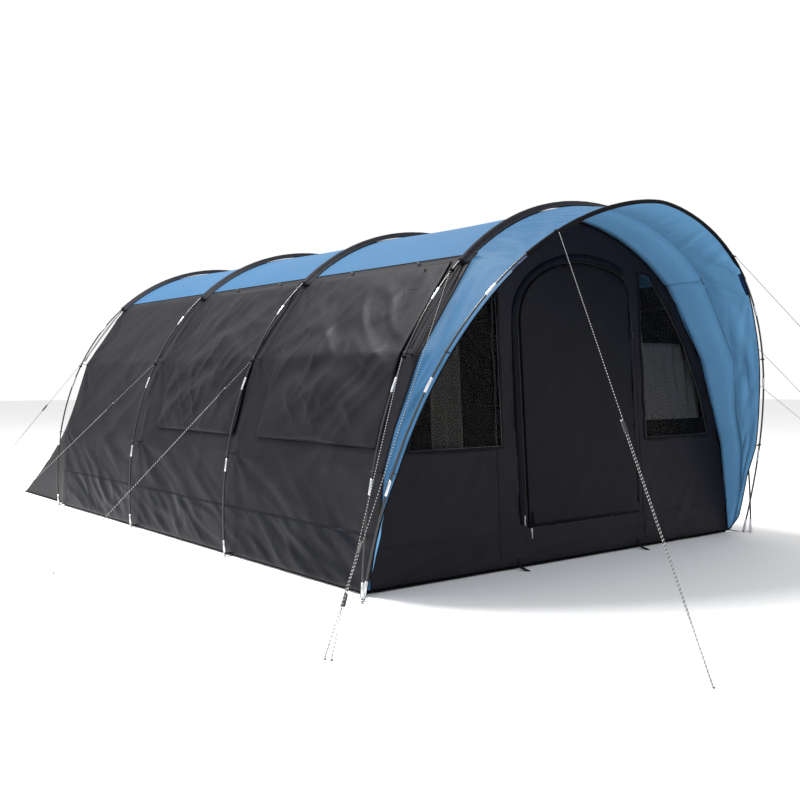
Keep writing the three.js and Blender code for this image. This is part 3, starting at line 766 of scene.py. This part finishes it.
def side_walls(label, side, look):
    seed = WALL_SEEDS[side]
    windows = [(a + WINDOW_MARGIN, b - WINDOW_MARGIN) for a, b in COVERS.values()]
    marks = [edge for window in windows for edge in window]
    ys = spaced(SKIN_FRONT, SKIN_REAR, STEP, *marks, *HOOP_Y.values())

    def in_window(y, z):
        return WINDOW_LOW < z < WINDOW_TOP and any(a < y < b for a, b in windows)

    zs = spaced(TUB_HEIGHT - 0.012, SEAM_HEIGHT, STEP, WINDOW_LOW, WINDOW_TOP, *CLIP_HEIGHTS)
    wall = thicken(grid_piece(f"wall_{label}", ys, zs, side_place(side, seed), look["charcoal"], in_window))
    finish(wall, ROOT, "charcoal_fabric", f"side_wall_{label}")
    height = sum(math.hypot(wall_x(b) - wall_x(a), b - a) for a, b in zip(zs, zs[1:]))
    low = spaced(0.004, HEM_HEIGHT, 0.006) + spaced(HEM_HEIGHT, TUB_HEIGHT, 0.016)[1:]
    tub = thicken(grid_piece(f"tub_{label}", ys, low, side_place(side, seed, 0.002), look["tub"]))
    finish(tub, ROOT, "groundsheet")
    hem = [at(side * wall_x(0.006), y, 0.0065) for y in spaced(front_edge(0.006), SKIN_REAR, 0.1)]
    finish(sweep(f"hem_{label}", hem, circle(0.006, 8), look["stitch"]), ROOT, "sleeve_fabric")
    for name, (a, b) in zip(COVERS, windows):
        side_window(label, side, name, a, b, seed, look)


def side_window(label, side, name, a, b, seed, look):
    """Clear film welded into a fabric border."""
    place = side_place(side, seed, -0.001)
    ys, zs = spaced(a - 0.012, b + 0.012, 0.04), spaced(WINDOW_LOW - 0.012, WINDOW_TOP + 0.012, 0.04)
    film = thicken(grid_piece(f"film_{label}_{name}", ys, zs, place, look["film"]), 0.0008)
    finish(film, ROOT, "clear_film", f"side_window_{label}_{name}")
    edge = side_place(side, seed, 0.0018)
    corners = [(a, WINDOW_LOW), (b, WINDOW_LOW), (b, WINDOW_TOP), (a, WINDOW_TOP), (a, WINDOW_LOW)]
    parts = []
    for (ya, za), (yb, zb) in zip(corners, corners[1:]):
        route = [edge(lerp(ya, yb, k / 16), lerp(za, zb, k / 16)) for k in range(17)]
        parts.append(sweep_points(route, rectangle(0.0025, 0.022), across=(side * 0.9, 0, 0.4)))
    border = joined(f"window_border_{label}_{name}", parts, look["webbing"], smooth=False)
    finish(border, ROOT, "sleeve_fabric")


def cover_relief(share, drop, seed):
    """Swags that hang from the cover's side edges, deeper towards its hem."""
    slack = math.sin(math.pi * share) ** 0.7 * math.sin(math.pi * min(drop, 0.999)) ** 0.5
    swag = drop + 0.22 * (1 - (2 * share - 1) ** 2)
    waves = math.sin(swag * 21 + 3.2 * folds(share, drop, seed, 0.3, 0.8, 0.5))
    broad = folds(share * 1.1, drop, seed, 0.75, 0.7, 0.16)
    sharp = creases(share, drop, seed + 3, 0.9, 0.5, 0.14) + creases(share, drop, seed + 5, -0.7, 0.5, 0.16)
    deep = drop ** 1.4
    return (0.016 + 0.016 * deep + 0.017 * waves * deep + 0.016 * broad + 0.012 * sharp) * slack


def cover_place(side, name, seed):
    a, b = COVERS[name]

    def place(y, z):
        share = (y - a) / (b - a)
        drop = (COVER_TOP - z) / (COVER_TOP - COVER_LOW)
        wall = wall_x(z) + side_relief(y, z, WALL_SEEDS[side])
        out = COVER_STAND_OFF + 0.006 * drop + max(0.0, cover_relief(share, drop, seed))
        return at(side * (wall + out), y, z)
    return place


def window_cover(label, side, name, look):
    """The outer flap over a side window, and the hem round its two sides and lower edge."""
    seed = COVER_SEEDS[name] + (0 if side < 0 else 20)
    ys, zs = spaced(*COVERS[name], COVER_STEP), spaced(COVER_LOW, COVER_TOP, COVER_STEP)
    body, cloth = f"cover_{label}_{name}", look["charcoal"]
    cover = grid_piece(f"flap_{label}_{name}", ys, zs, cover_place(side, name, seed), cloth)
    finish(thicken(cover, 0.0012), body, "charcoal_fabric", f"window_cover_{label}_{name}")
    width, count = len(ys), len(zs)
    edge = [j * width for j in reversed(range(count))] + list(range(1, width - 1))
    edge += [j * width + width - 1 for j in range(count)]
    hem = [cover.data.vertices[k].co + Vector((side * 0.001, 0, 0)) for k in edge]
    finish(sweep(f"flap_hem_{label}_{name}", hem, circle(0.0016, 6), cloth), body, "sleeve_fabric")


def roof_place(share, y):
    """share runs from -1 at the left seam to 1 at the right seam."""
    start = TUNNEL.share(SEAM_HEIGHT)
    x, z = arch_point(1 - abs(share) * (1 - start))
    bay, width = bay_share(y)
    slack = math.sin(math.pi * bay) if width > 1 else 0.0
    dip = 0.012 * slack + 0.003 * folds(share * 1.5, y, 0, 0.1, 0.3, 0.5) * slack
    return at(math.copysign(x, share) * (1 - dip * 0.5), y, z - dip)


def roof_sheet(look):
    shares = np.linspace(-1, 1, 90)
    marks = [hoop_y + d for hoop_y in HOOP_Y.values() for d in (-0.10, -0.05, -0.025, 0, 0.025, 0.05, 0.10)]
    ys = spaced(SKIN_FRONT, SKIN_REAR, 0.04, *marks)
    roof = thicken(grid_piece("roof_fabric", list(shares), ys, roof_place, look["blue"]))
    finish(roof, ROOT, "blue_fabric", "roof")
    line = [Vector(roof_place(s, 1.0)) for s in shares]
    for label, side in SIDES:
        seam = [at(side * (wall_x(SEAM_HEIGHT - 0.004) + 0.0005), y, SEAM_HEIGHT - 0.002)
                for y in spaced(SKIN_FRONT, SKIN_REAR, 0.05)]
        finish(sweep(f"roof_seam_{label}", seam, circle(0.0022, 6), look["stitch"]), ROOT, "sleeve_fabric")


def rear_sheet(look):
    """The sloping rear wall, ruled from the tunnel's outline to the ground."""
    side = [(-wall_x(z), z) for z in spaced(0.0, SEAM_HEIGHT, 0.05, *CLIP_HEIGHTS)]
    start = TUNNEL.share(SEAM_HEIGHT)
    arch = [(math.copysign(x, s), z) for s in np.linspace(-1, 1, 50)[1:-1]
            for x, z in [arch_point(1 - abs(s) * (1 - start))]]
    outline = [*side, *arch, *[(-x, z) for x, z in reversed(side)]]
    count = len(outline)
    ridge = next(i for i, (_, z) in enumerate(outline) if z >= CLIP_HEIGHTS[0] - 0.001)

    def ground(i):
        side = -1 if i < count / 2 else 1
        if i <= ridge or i >= count - 1 - ridge:
            share = min(i, count - 1 - i) / ridge
            x, y = lerp(wall_x(0), REAR_CORNER[0], share), lerp(SKIN_REAR + 0.004, REAR_CORNER[1], share)
            return (side * x, y)
        share = (i - ridge) / (count - 1 - 2 * ridge)
        return (lerp(-REAR_CORNER[0], REAR_CORNER[0], share), REAR_CORNER[1])

    def place(i, v):
        x, z = outline[int(i)]
        gx, gy = ground(int(i))
        bulge = math.sin(math.pi * v)
        rise = 0.0 if z < 0.05 else 1.0
        relief = 0.008 * folds(x + 3, v * 2, 11, 0.9, 0.5, 0.12) * bulge * rise - 0.02 * bulge * rise
        point = Vector((lerp(x, gx, v), lerp(SKIN_REAR, gy, v), lerp(z, 0.003, v)))
        return at(point.x, point.y + relief * 0.87, max(point.z + relief * 0.5, 0.003))

    vs = [k / 50 for k in range(51)]
    rear = thicken(grid_piece("rear_fabric", range(count), vs, place, look["charcoal"]))
    finish(rear, ROOT, "charcoal_fabric", "rear_wall")
    route = [at(s * REAR_CORNER[0], REAR_CORNER[1] - 0.004, 0.007) for s in (-1, 1)]
    sides = [[at(s * wall_x(0), SKIN_REAR, 0.007), at(s * REAR_CORNER[0], REAR_CORNER[1] - 0.004, 0.007)]
             for s in (-1, 1)]
    parts = [sweep_points(path, circle(0.006, 8)) for path in (route, *sides)]
    finish(joined("hem_rear", parts, look["stitch"]), ROOT, "sleeve_fabric")


def ground_sheet(look):
    low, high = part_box("groundsheet")
    xs, ys = spaced(low.x, high.x, 0.06), spaced(low.y - FRONT_Y, high.y - FRONT_Y, 0.06)

    def place(x, y):
        return at(x, y, 0.004 + 0.004 * abs(folds(x, y, 31, 0.7, 0.5, 0.16)))

    sheet = thicken(grid_piece("floor_sheet", xs, ys, place, look["ground"]))
    finish(sheet, ROOT, "groundsheet", "groundsheet")


# ---- Canopy -------------------------------------------------------------------------------------
WALL_FOOT = 0.106
WALL_SLOPE = 0.07
LEAN = math.atan(WALL_SLOPE)
CANOPY_KNEE = 1.590
# The canopy's free edge lies this far inside the porch hoop, by height.
EDGE_HEIGHTS = (0.03, 0.10, 0.41, 0.60, 0.90, 1.15, 1.38, 1.60, 1.72)
EDGE_INSETS = {
    1: (0.080, 0.072, 0.098, 0.064, 0.066, 0.056, 0.048, 0.022, 0.008),
    -1: (0.080, 0.062, 0.026, 0.018, 0.018, 0.020, 0.020, 0.016, 0.008),
}
EDGE_GAP = 0.014          # the free edge hangs this far in front of the porch pole
# Below the knee the edge runs back to the front hoop's foot: heights and places along the tunnel.
LOW_EDGE = {1: ((0.03, 0.12, 0.60), (0.085, 0.020, 0.0)), -1: ((0.03, 0.27, 0.60), (0.085, 0.006, 0.0))}


def edge_inset(side, z):
    return float(np.interp(z, EDGE_HEIGHTS, EDGE_INSETS[side]))


def canopy_front(share, side):
    """The canopy's free edge on the porch hoop: share runs from 0 at its foot to 1 at the top."""
    porch = HOOPS["porch"]
    if share < 0.5:
        along = porch.share(lerp(0.03, CANOPY_KNEE, share / 0.5))
    else:
        along = lerp(porch.share(CANOPY_KNEE), 1, (share - 0.5) / 0.5)
    x, z = porch.half(along)
    (xa, za), (xb, zb) = porch.half(max(along - 0.002, 0)), porch.half(min(along + 0.002, 1))
    length = math.hypot(xb - xa, zb - za)
    inset = edge_inset(side, z)
    x, z = x - inset * (zb - za) / length, z + inset * (xb - xa) / length
    y = porch.y(z) - EDGE_GAP
    heights, places = LOW_EDGE[side]
    low_y = float(np.interp(z, heights, (*places[:2], porch.y(0.6) - EDGE_GAP)))
    return (x, low_y if z < 0.60 else y, z)


def canopy_back(share):
    """Where the canopy meets the tunnel, just in front of the main hoop."""
    if share < 0.5:
        z = lerp(0.03, SEAM_HEIGHT, share / 0.5)
        return (wall_x(z), front_edge(z), z)
    x, z = arch_point(lerp(TUNNEL.share(SEAM_HEIGHT), 1, (share - 0.5) / 0.5))
    return (x, SKIN_FRONT, z)


def canopy_relief(share, v, seed):
    """Creases that run back from the porch sleeve and fan out from its end, and soft folds below it."""
    band = smooth(share, 0.42, 0.52) * (1 - 0.85 * smooth(share, 0.60, 0.90))
    ribs = noise.noise(Vector((share * 42 + 2.0 * v, v * 0.9, seed)))
    ribs += 0.5 * noise.noise(Vector((share * 90 - 2.0 * v, v * 1.3, seed + 9)))
    spread = fan(v * 0.55, (share - 0.5) * 3.2, -0.04, 0.0, seed, 4.0, 0.55)
    soft = folds(share * 3.0, v * 0.5, seed, 0.5, 0.9, 0.20) * (1.0 if share < 0.55 else 0.25)
    low = creases(share * 3.0, v * 0.5, seed + 4, -0.6, 0.7, 0.22) * smooth(share, 0.5, 0.3)
    return 0.013 * ribs * band + 0.022 * spread + 0.013 * soft + 0.012 * low


def canopy_place(s, v):
    """v runs from 0 at the free edge to 1 at the main hoop, and on to 1.5 at the front wall."""
    share, side = 1 - abs(s), (1 if s > 0 else -1)
    front, back = canopy_front(share, side), canopy_back(share)
    if v > 1:
        x, y, z = back
        end = max(WALL_FOOT + WALL_SLOPE * z - 0.004, y)
        tuck = 0.010 * smooth(v, 1.0, 1.12)
        low = 1.0 if share < 0.5 else 1 - smooth(share, 0.5, 1.0) * 0.5
        return at(side * (x - tuck * low), lerp(y, end, (v - 1) / 0.5), z - (tuck if share >= 0.5 else 0))
    x, y, z = (lerp(a, b, v) for a, b in zip(front, back))
    held = math.sin(math.pi * v) ** 0.6 if share < 0.5 else math.sin(math.pi * v) ** 0.8
    relief = (canopy_relief(share, v, 3 if side > 0 else 6) - 0.012) * held * smooth(share, 0.0, 0.06)
    out = Vector((x, 0, max(z - 0.7, 0) * 1.2)).normalized()
    return at(side * (x + out.x * relief), y, z + out.z * relief)


def canopy_sheet(look):
    """The canopy, and the part of it that lines the tunnel's mouth on inside, back to the front wall. Its
    inner face is a much lighter blue than its outer face: painted light, standing in for daylight shining
    through the thin fabric.
    """
    shares = list(np.linspace(-1, 1, 300))
    vs = [k / 44 for k in range(45)] + [1 + k / 12 for k in range(1, 7)]
    canopy = thicken(grid_piece("canopy_fabric", shares, vs, canopy_place, look["blue"]), 0.0012)
    # The second material, on the inner face, is the lighter blue: painted light for daylight shining through
    # the canopy.
    canopy.data.materials.append(look["inside_painted_light"])
    canopy.modifiers["thickness"].material_offset = 1
    finish(canopy, ROOT, "blue_fabric", "canopy")
    edge = [canopy_place(s, 0.0) for s in shares]
    finish(sweep("canopy_binding", edge, circle(0.0034, 8), look["stitch"]), ROOT, "sleeve_fabric")


def sleeve_end_patches(look):
    """The reinforced patch under each end of the porch sleeve."""
    parts = []
    for side in (-1, 1):
        rows = []
        for k in range(9):
            s = side * (1 - lerp(0.485, 0.535, k / 8))
            rows.append([canopy_place(s, v) for v in (0.005, 0.05, 0.09 - 0.05 * abs(k / 8 - 0.6))])
        lift = Vector((-side * 0.003, -0.001, -0.001))
        points = [p + lift for row in rows for p in row] + [p - lift * 1.5 for row in rows for p in row]
        n, faces = len(rows) * 3, []
        for j in range(len(rows) - 1):
            for i in range(2):
                a = j * 3 + i
                faces += [(a, a + 1, a + 4, a + 3), (n + a + 3, n + a + 4, n + a + 1, n + a)]
        parts.append((points, faces))
    finish(joined("sleeve_end_patches", parts, look["navy"]), ROOT, "sleeve_fabric")


# ---- Front wall ---------------------------------------------------------------------------------
DOOR = {"left": -0.400, "right": 0.575, "bottom": 0.215, "top": 1.712, "spring_left": 1.330,
        "spring_right": 1.560}
DOOR_GAP = 0.0015


FRONT_CURL = 0.085


def on_wall(x, h, out=0.0):
    """A place on the leaning front wall: h runs up the wall and out towards the porch."""
    c, s = math.cos(LEAN), math.sin(LEAN)
    return at(x, WALL_FOOT + h * s - out * c + FRONT_CURL * curl(h), h * c + out * s)


WALL_NORMAL = on_wall(0, 0, 1) - on_wall(0, 0, 0)


def bezier(a, b, c, d, steps):
    return [bezier_point((a, b, c, d), k / steps) for k in range(steps + 1)]


def door_line(grow=0.0):
    """The door's outline, from its lower hinge corner up and over to its lower zip corner."""
    left, right, bottom, top = (DOOR[k] for k in ("left", "right", "bottom", "top"))
    peak = lerp(left, right, 0.58)
    line = [(right + grow, z) for z in spaced(bottom - grow, DOOR["spring_right"], 0.05)]
    line += bezier((right + grow, DOOR["spring_right"]), (right + grow, top - 0.04 + grow),
                   (peak + 0.19, top + grow), (peak, top + grow), 14)[1:]
    line += bezier((peak, top + grow), (peak - 0.26, top + grow), (left - grow, DOOR["spring_left"] + 0.26),
                   (left - grow, DOOR["spring_left"]), 20)[1:]
    line += [(left - grow, z) for z in reversed(spaced(bottom - grow, DOOR["spring_left"], 0.05))][1:]
    return line


WINDOW = {"inner": 0.660, "bottom": 0.665, "top": 1.690, "margin": 0.150}


def window_line(side, shrink=0.0):
    edge = lambda z: TUNNEL.x(z) - WINDOW["margin"] - CLIP_INSET - shrink
    low, high, inner = WINDOW["bottom"] + shrink, WINDOW["top"] - shrink, WINDOW["inner"] + shrink
    points = [(inner, low), (edge(low), low), (edge(0.95), 0.95), (edge(1.25), 1.25), (edge(1.45), 1.45),
              (inner + 0.11 - 2 * shrink, high - 0.02), (inner, high)]
    shift = 0.05 * (2 if side < 0 else 0.3)
    line = [(side * x + shift, z) for x, z in points]
    return line if side > 0 else line[::-1]


def inside(point, line):
    x, y = point
    hit = False
    for (ax, ay), (bx, by) in zip(line, line[1:] + line[:1]):
        if (ay > y) != (by > y) and x < (bx - ax) * (y - ay) / (by - ay) + ax:
            hit = not hit
    return hit


def dense(line, step):
    """The same closed line with points no further than a step apart."""
    points = []
    for a, b in zip(line, line[1:] + line[:1]):
        length = math.dist(a, b)
        if length < 1e-6:
            continue
        count = max(1, math.ceil(length / step))
        points += [(lerp(a[0], b[0], k / count), lerp(a[1], b[1], k / count)) for k in range(count)]
    return points


def flat_piece(name, outline, holes, place, material, step=0.03):
    """A flat sheet inside an outline, less its holes, filled with an even net of triangles."""
    loops = [dense(outline, step), *[dense(hole, step) for hole in holes]]
    points, edges = [], []
    for loop in loops:
        start = len(points)
        points += loop
        edges += [(start + k, start + (k + 1) % len(loop)) for k in range(len(loop))]
    xs, zs = [p[0] for p in loops[0]], [p[1] for p in loops[0]]
    rows = int((max(zs) - min(zs)) / (step * 0.87))
    fixed = np.array(points)
    for j in range(1, rows + 1):
        z = min(zs) + j * step * 0.87
        x = min(xs) + (step / 2 if j % 2 else 0)
        while x < max(xs):
            clear = np.hypot(fixed[:, 0] - x, fixed[:, 1] - z).min() > step * 0.45
            if clear and inside((x, z), loops[0]) and not any(inside((x, z), h) for h in loops[1:]):
                points.append((x, z))
            x += step
    made = geometry.delaunay_2d_cdt([Vector(p) for p in points], edges, [], 0, 1e-6)
    verts, faces = made[0], made[2]
    kept = []
    for face in faces:
        centre = sum((verts[k] for k in face), Vector((0, 0))) / len(face)
        if inside(centre, loops[0]) and not any(inside(centre, h) for h in loops[1:]):
            kept.append(tuple(face))
    return new_piece(name, [place(v.x, v.y) for v in verts], kept, material)


def wall_outline():
    inset = 0.012
    heights = spaced(0.004, HEM_HEIGHT, 0.006)
    heights += spaced(HEM_HEIGHT, SEAM_HEIGHT, 0.05, *CLIP_HEIGHTS)[1:]
    right = [(wall_x(z) - inset, z) for z in heights]
    start = TUNNEL.share(SEAM_HEIGHT)
    for k in range(1, 25):
        x, z = arch_point(lerp(start, 1, k / 24))
        right.append((x - inset * 0.6, z - inset))
    return right + [(-x, z) for x, z in reversed(right[:-1])]


def wall_relief(x, h, seed=40):
    near_door = DOOR["left"] - 0.05 < x < DOOR["right"] + 0.05
    tension = 0.008 * folds(x, h, seed, 0.9, 0.8, 0.10) + 0.006 * folds(x, h, seed + 2, -0.7, 0.7, 0.09)
    tension += 0.006 * creases(x, h, seed + 7, 0.8, 0.6, 0.16)
    low = 0.008 * folds(x, h, seed + 4, 0.25, 0.5, 0.06) + 0.008 * creases(x, h, seed + 8, 0.35, 0.6, 0.08)
    low *= smooth(h, 0.40, 0.15)
    return (tension * (0.45 if near_door else 1.0) + low) * min(1.0, h / 0.05)


FRONT_SEAM_HEIGHT = 0.205


def front_wall(look):
    holes = [door_line(DOOR_GAP), window_line(-1), window_line(1)]
    wall = flat_piece("front_fabric", wall_outline(), holes,
                      lambda x, h: on_wall(x, h, wall_relief(x, h)), look["black"], 0.025)
    finish(thicken(wall), ROOT, "black_fabric",
           "front_wall_left", "front_wall_right", "front_wall_top", "front_sill")
    parts = []
    for side, edge in ((-1, DOOR["left"]), (1, DOOR["right"])):
        far = side * (wall_x(0.2) - 0.015)
        xs = spaced(min(edge, far), max(edge, far), 0.05)
        seam = [on_wall(x, FRONT_SEAM_HEIGHT, 0.002 + wall_relief(x, FRONT_SEAM_HEIGHT)) for x in xs]
        parts.append(sweep_points(seam, rectangle(0.002, 0.010), across=(0, 0, 1)))
    for x in (DOOR["left"] - 0.20, DOOR["right"] + 0.045):
        seam = [on_wall(x, h, 0.0016 + wall_relief(x, h)) for h in spaced(0.02, 1.55, 0.04)]
        parts.append(sweep_points(seam, rectangle(0.0016, 0.008), across=(1, 0, 0)))
    finish(joined("front_seams", parts, look["black"], smooth=False), ROOT, "black_fabric")
    xs = spaced(-wall_x(0.01) + 0.012, wall_x(0.01) - 0.012, 0.05)
    hem = sweep("hem_front", [on_wall(x, 0.0065, 0.003) for x in xs], circle(0.0055, 8), look["stitch"])
    finish(hem, ROOT, "sleeve_fabric")


def door_panel(look):
    body = "door_panel"
    door = flat_piece("door_fabric", door_line(0), [],
                      lambda x, h: on_wall(x, h, wall_relief(x, h, 60) * 0.8 - 0.001), look["door"], 0.025)
    finish(thicken(door), body, "black_fabric", "door")
    line = [p for p in door_line(-0.012) if p[0] < DOOR["right"] - 0.03]
    bottom = [(x, DOOR["bottom"] + 0.012) for x in spaced(DOOR["left"] + 0.012, DOOR["right"] - 0.02, 0.05)]
    tape = [sweep_points([on_wall(x, h, 0.003) for x, h in path], rectangle(0.0024, 0.022), across=(0, 1, 0))
            for path in (line, bottom)]
    finish(joined("door_tape", tape, look["webbing"], smooth=False), body, "black_fabric")
    pull = [on_wall(DOOR["left"] + 0.05, h, 0.006) for h in (0.30, 0.27, 0.23)]
    tab = sweep("door_tab", pull, rectangle(0.002, 0.018), look["webbing"], across=(1, 0, 0))
    finish(tab, body, "black_fabric")


def zip_pieces(look):
    """The storm flap over the zip, and the zip's coil inside it."""
    grow = DOOR_GAP + 0.027
    line = [p for p in door_line(grow) if p[0] < DOOR["right"] - 0.035]
    line = [p for p in line if p[1] > DOOR["bottom"] - 0.01]
    # across the flap, and out from the wall
    section = [(0.024, -0.0015), (0.018, 0.004), (0.0, 0.0065), (-0.018, 0.004), (-0.024, -0.0015)]

    def swell(share, shape):
        grown = 1 + 0.3 * noise.noise(Vector((share * 24, 3, 0)))
        return [(a, b * grown) for a, b in shape]

    path = [on_wall(x, h, 0.004) for x, h in line]
    flap = sweep("storm_flap", path, section, look["sleeve"], across=WALL_NORMAL, change=swell)
    finish(flap, ROOT, "black_fabric", "door_zip_band")
    coil_line = [on_wall(x, h, 0.002) for x, h in door_line(DOOR_GAP) if x < DOOR["right"] - 0.03]
    coil_low = [on_wall(x, DOOR["bottom"] - 0.004, 0.002) for x in spaced(DOOR["left"], DOOR["right"], 0.05)]
    coils = [sweep_points(route, circle(0.0022, 6)) for route in (coil_line, coil_low)]
    finish(joined("zip_coil", coils, look["coil"]), ROOT, "metal_fitting")


def film_place(x, h):
    return on_wall(x, h, 0.003 * folds(x, h, 71, 0.9, 0.5, 0.05) - 0.001)


def front_windows(look):
    for label, side in SIDES:
        outline = window_line(side, 0.001)
        film = flat_piece(f"window_film_{label}", outline, [], film_place, look["film"], 0.03)
        finish(thicken(film, 0.0008), ROOT, "clear_film", f"front_window_{label}")
        border = dense(window_line(side, -0.004), 0.05)
        border.append(border[0])
        frame_path = [on_wall(x, h, 0.0035 + wall_relief(x, h)) for x, h in border]
        piece = sweep(f"window_frame_{label}", frame_path, rectangle(0.016, 0.002), look["webbing"],
                      across=WALL_NORMAL, smooth=False)
        finish(piece, ROOT, "sleeve_fabric")
        # A thin light line just inside the border: a painted highlight along the film's edge.
        edge = dense(window_line(side, 0.005), 0.05)
        edge.append(edge[0])
        edge_painted_highlight = sweep(f"window_edge_painted_highlight_{label}", [on_wall(x, h, 0.003) for x, h in edge], circle(0.0016, 6),
                       look["edge_painted_highlight"])
        finish(edge_painted_highlight, ROOT, "sleeve_fabric")
        curtain_piece(label, side, look)


def curtain_piece(label, side, look):
    """A curtain behind the window, gathered in upright folds."""
    start, end = (0.650, 1.330) if side > 0 else (-1.020, -0.800)
    low, high = (0.775, 1.262) if side > 0 else (0.580, 1.600)
    xs = spaced(start, end, 0.012)
    hs = spaced(low, high, 0.03)

    def place(x, h):
        wave = 0.012 * math.sin(x * 60 + 3 * folds(x, h, 81, 1.5, 0.8, 0.3))
        return on_wall(x, h, -0.05 + wave + 0.008 * folds(x, h, 83, 1.4, 0.6, 0.1))

    curtain = grid_piece(f"curtain_{label}", xs, hs, place, look["curtain" if side > 0 else "drape"])
    finish(thicken(curtain, 0.001), ROOT, "charcoal_fabric")


# ---- Small pieces -------------------------------------------------------------------------------
def toggles(look):
    """Toggles and loops above each window cover, which hold it when it is rolled up."""
    for label, side in SIDES:
        for name, (a, b) in COVERS.items():
            parts = []
            for y in (lerp(a, b, 0.24), lerp(a, b, 0.76)):
                base = at(side * (wall_x(SEAM_HEIGHT - 0.02) + 0.006), y, SEAM_HEIGHT - 0.015)
                middle_bar = base + Vector((side * 0.006, 0, -0.001))
                half_bar = Vector((0, 0.016, 0.005))
                bar = [middle_bar - half_bar, middle_bar, middle_bar + half_bar]
                loop = [base, base + Vector((side * 0.006, 0.006, -0.02)),
                        base + Vector((side * 0.004, 0, -0.045))]
                parts += [sweep_points(bar, circle(0.0045, 8)), sweep_points(loop, circle(0.0018, 6))]
            finish(joined(f"toggles_{label}_{name}", parts, look["plastic"]), ROOT, "runner_plastic")
    parts = []
    for h in (0.52, 1.31):
        base = on_wall(DOOR["right"] + 0.012, h, 0.004)
        cord = [base, base + Vector((0.004, -0.006, -0.014)), base + Vector((0.0, -0.005, -0.034))]
        bar = [base + Vector((-0.012, -0.004, 0)), base + Vector((0.014, -0.004, -0.004))]
        parts += [sweep_points(cord, circle(0.0045, 8)), sweep_points(bar, circle(0.0035, 8))]
    finish(joined("door_toggles", parts, look["plastic"]), ROOT, "runner_plastic")


def peg_loops(look):
    """Webbing loops along the ground hem, for the pegs."""
    parts = []
    for x in (-0.483, 0.546):
        front = WALL_FOOT - 0.012
        for shift in (-0.006, 0.006):
            path = [on_wall(x, 0.060, 0.004), on_wall(x, 0.034, 0.008), at(x + shift, front - 0.015, 0.012),
                    at(x + shift, front - 0.045, 0.006), at(x + shift * 0.3, front - 0.070, 0.004)]
            parts.append(sweep_points(path, rectangle(0.012, 0.003), across=(0, 0, 1)))
    for side in (-1, 1):
        corner = at(side * REAR_CORNER[0], REAR_CORNER[1], 0.008)
        path = [corner + Vector((-side * 0.03, -0.03, 0.01)), corner - Vector((0, 0, 0.001)),
                corner + Vector((side * 0.02, 0.015, 0.0))]
        parts.append(sweep_points(path, rectangle(0.02, 0.003), across=(0, 0, 1)))
    finish(joined("peg_loops", parts, look["webbing"], smooth=False), ROOT, "sleeve_fabric")


def dress_nodes(look):
    """The runners and the zip's sliders keep their CAD shape and only take a material."""
    for name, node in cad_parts.items():
        kind = {"rope_runner": "plastic", "zip_slider": "zip"}.get("_".join(name.split("_")[:2]))
        if kind:
            node.data.materials.clear()
            node.data.materials.append(look[kind])


def make_floor(look):
    size, level = 40.0, -0.0005
    points = [(-size, -size, level), (size, -size, level), (size, size, level), (-size, size, level)]
    new_piece("studio_floor", points, [(0, 1, 2, 3)], look["floor"], smooth=False)


# ---- Everything ---------------------------------------------------------------------------------
make_camera()
make_light()
look = make_materials()
make_ropes(look)
for hoop_name in HOOPS:
    pole_pieces(hoop_name, look)
    foot_pieces(hoop_name, look)
    clip_straps(hoop_name, look)
    pole_sleeve(hoop_name, look)
    if hoop_name != "porch":
        slack_webbing(hoop_name, look)
for wall_label, wall_side in SIDES:
    side_walls(wall_label, wall_side, look)
for wall_label, wall_side in SIDES:
    for cover_name in COVERS:
        window_cover(wall_label, wall_side, cover_name, look)
roof_sheet(look)
rear_sheet(look)
ground_sheet(look)
canopy_sheet(look)
sleeve_end_patches(look)
front_wall(look)
door_panel(look)
zip_pieces(look)
front_windows(look)
toggles(look)
peg_loops(look)
dress_nodes(look)
make_floor(look)
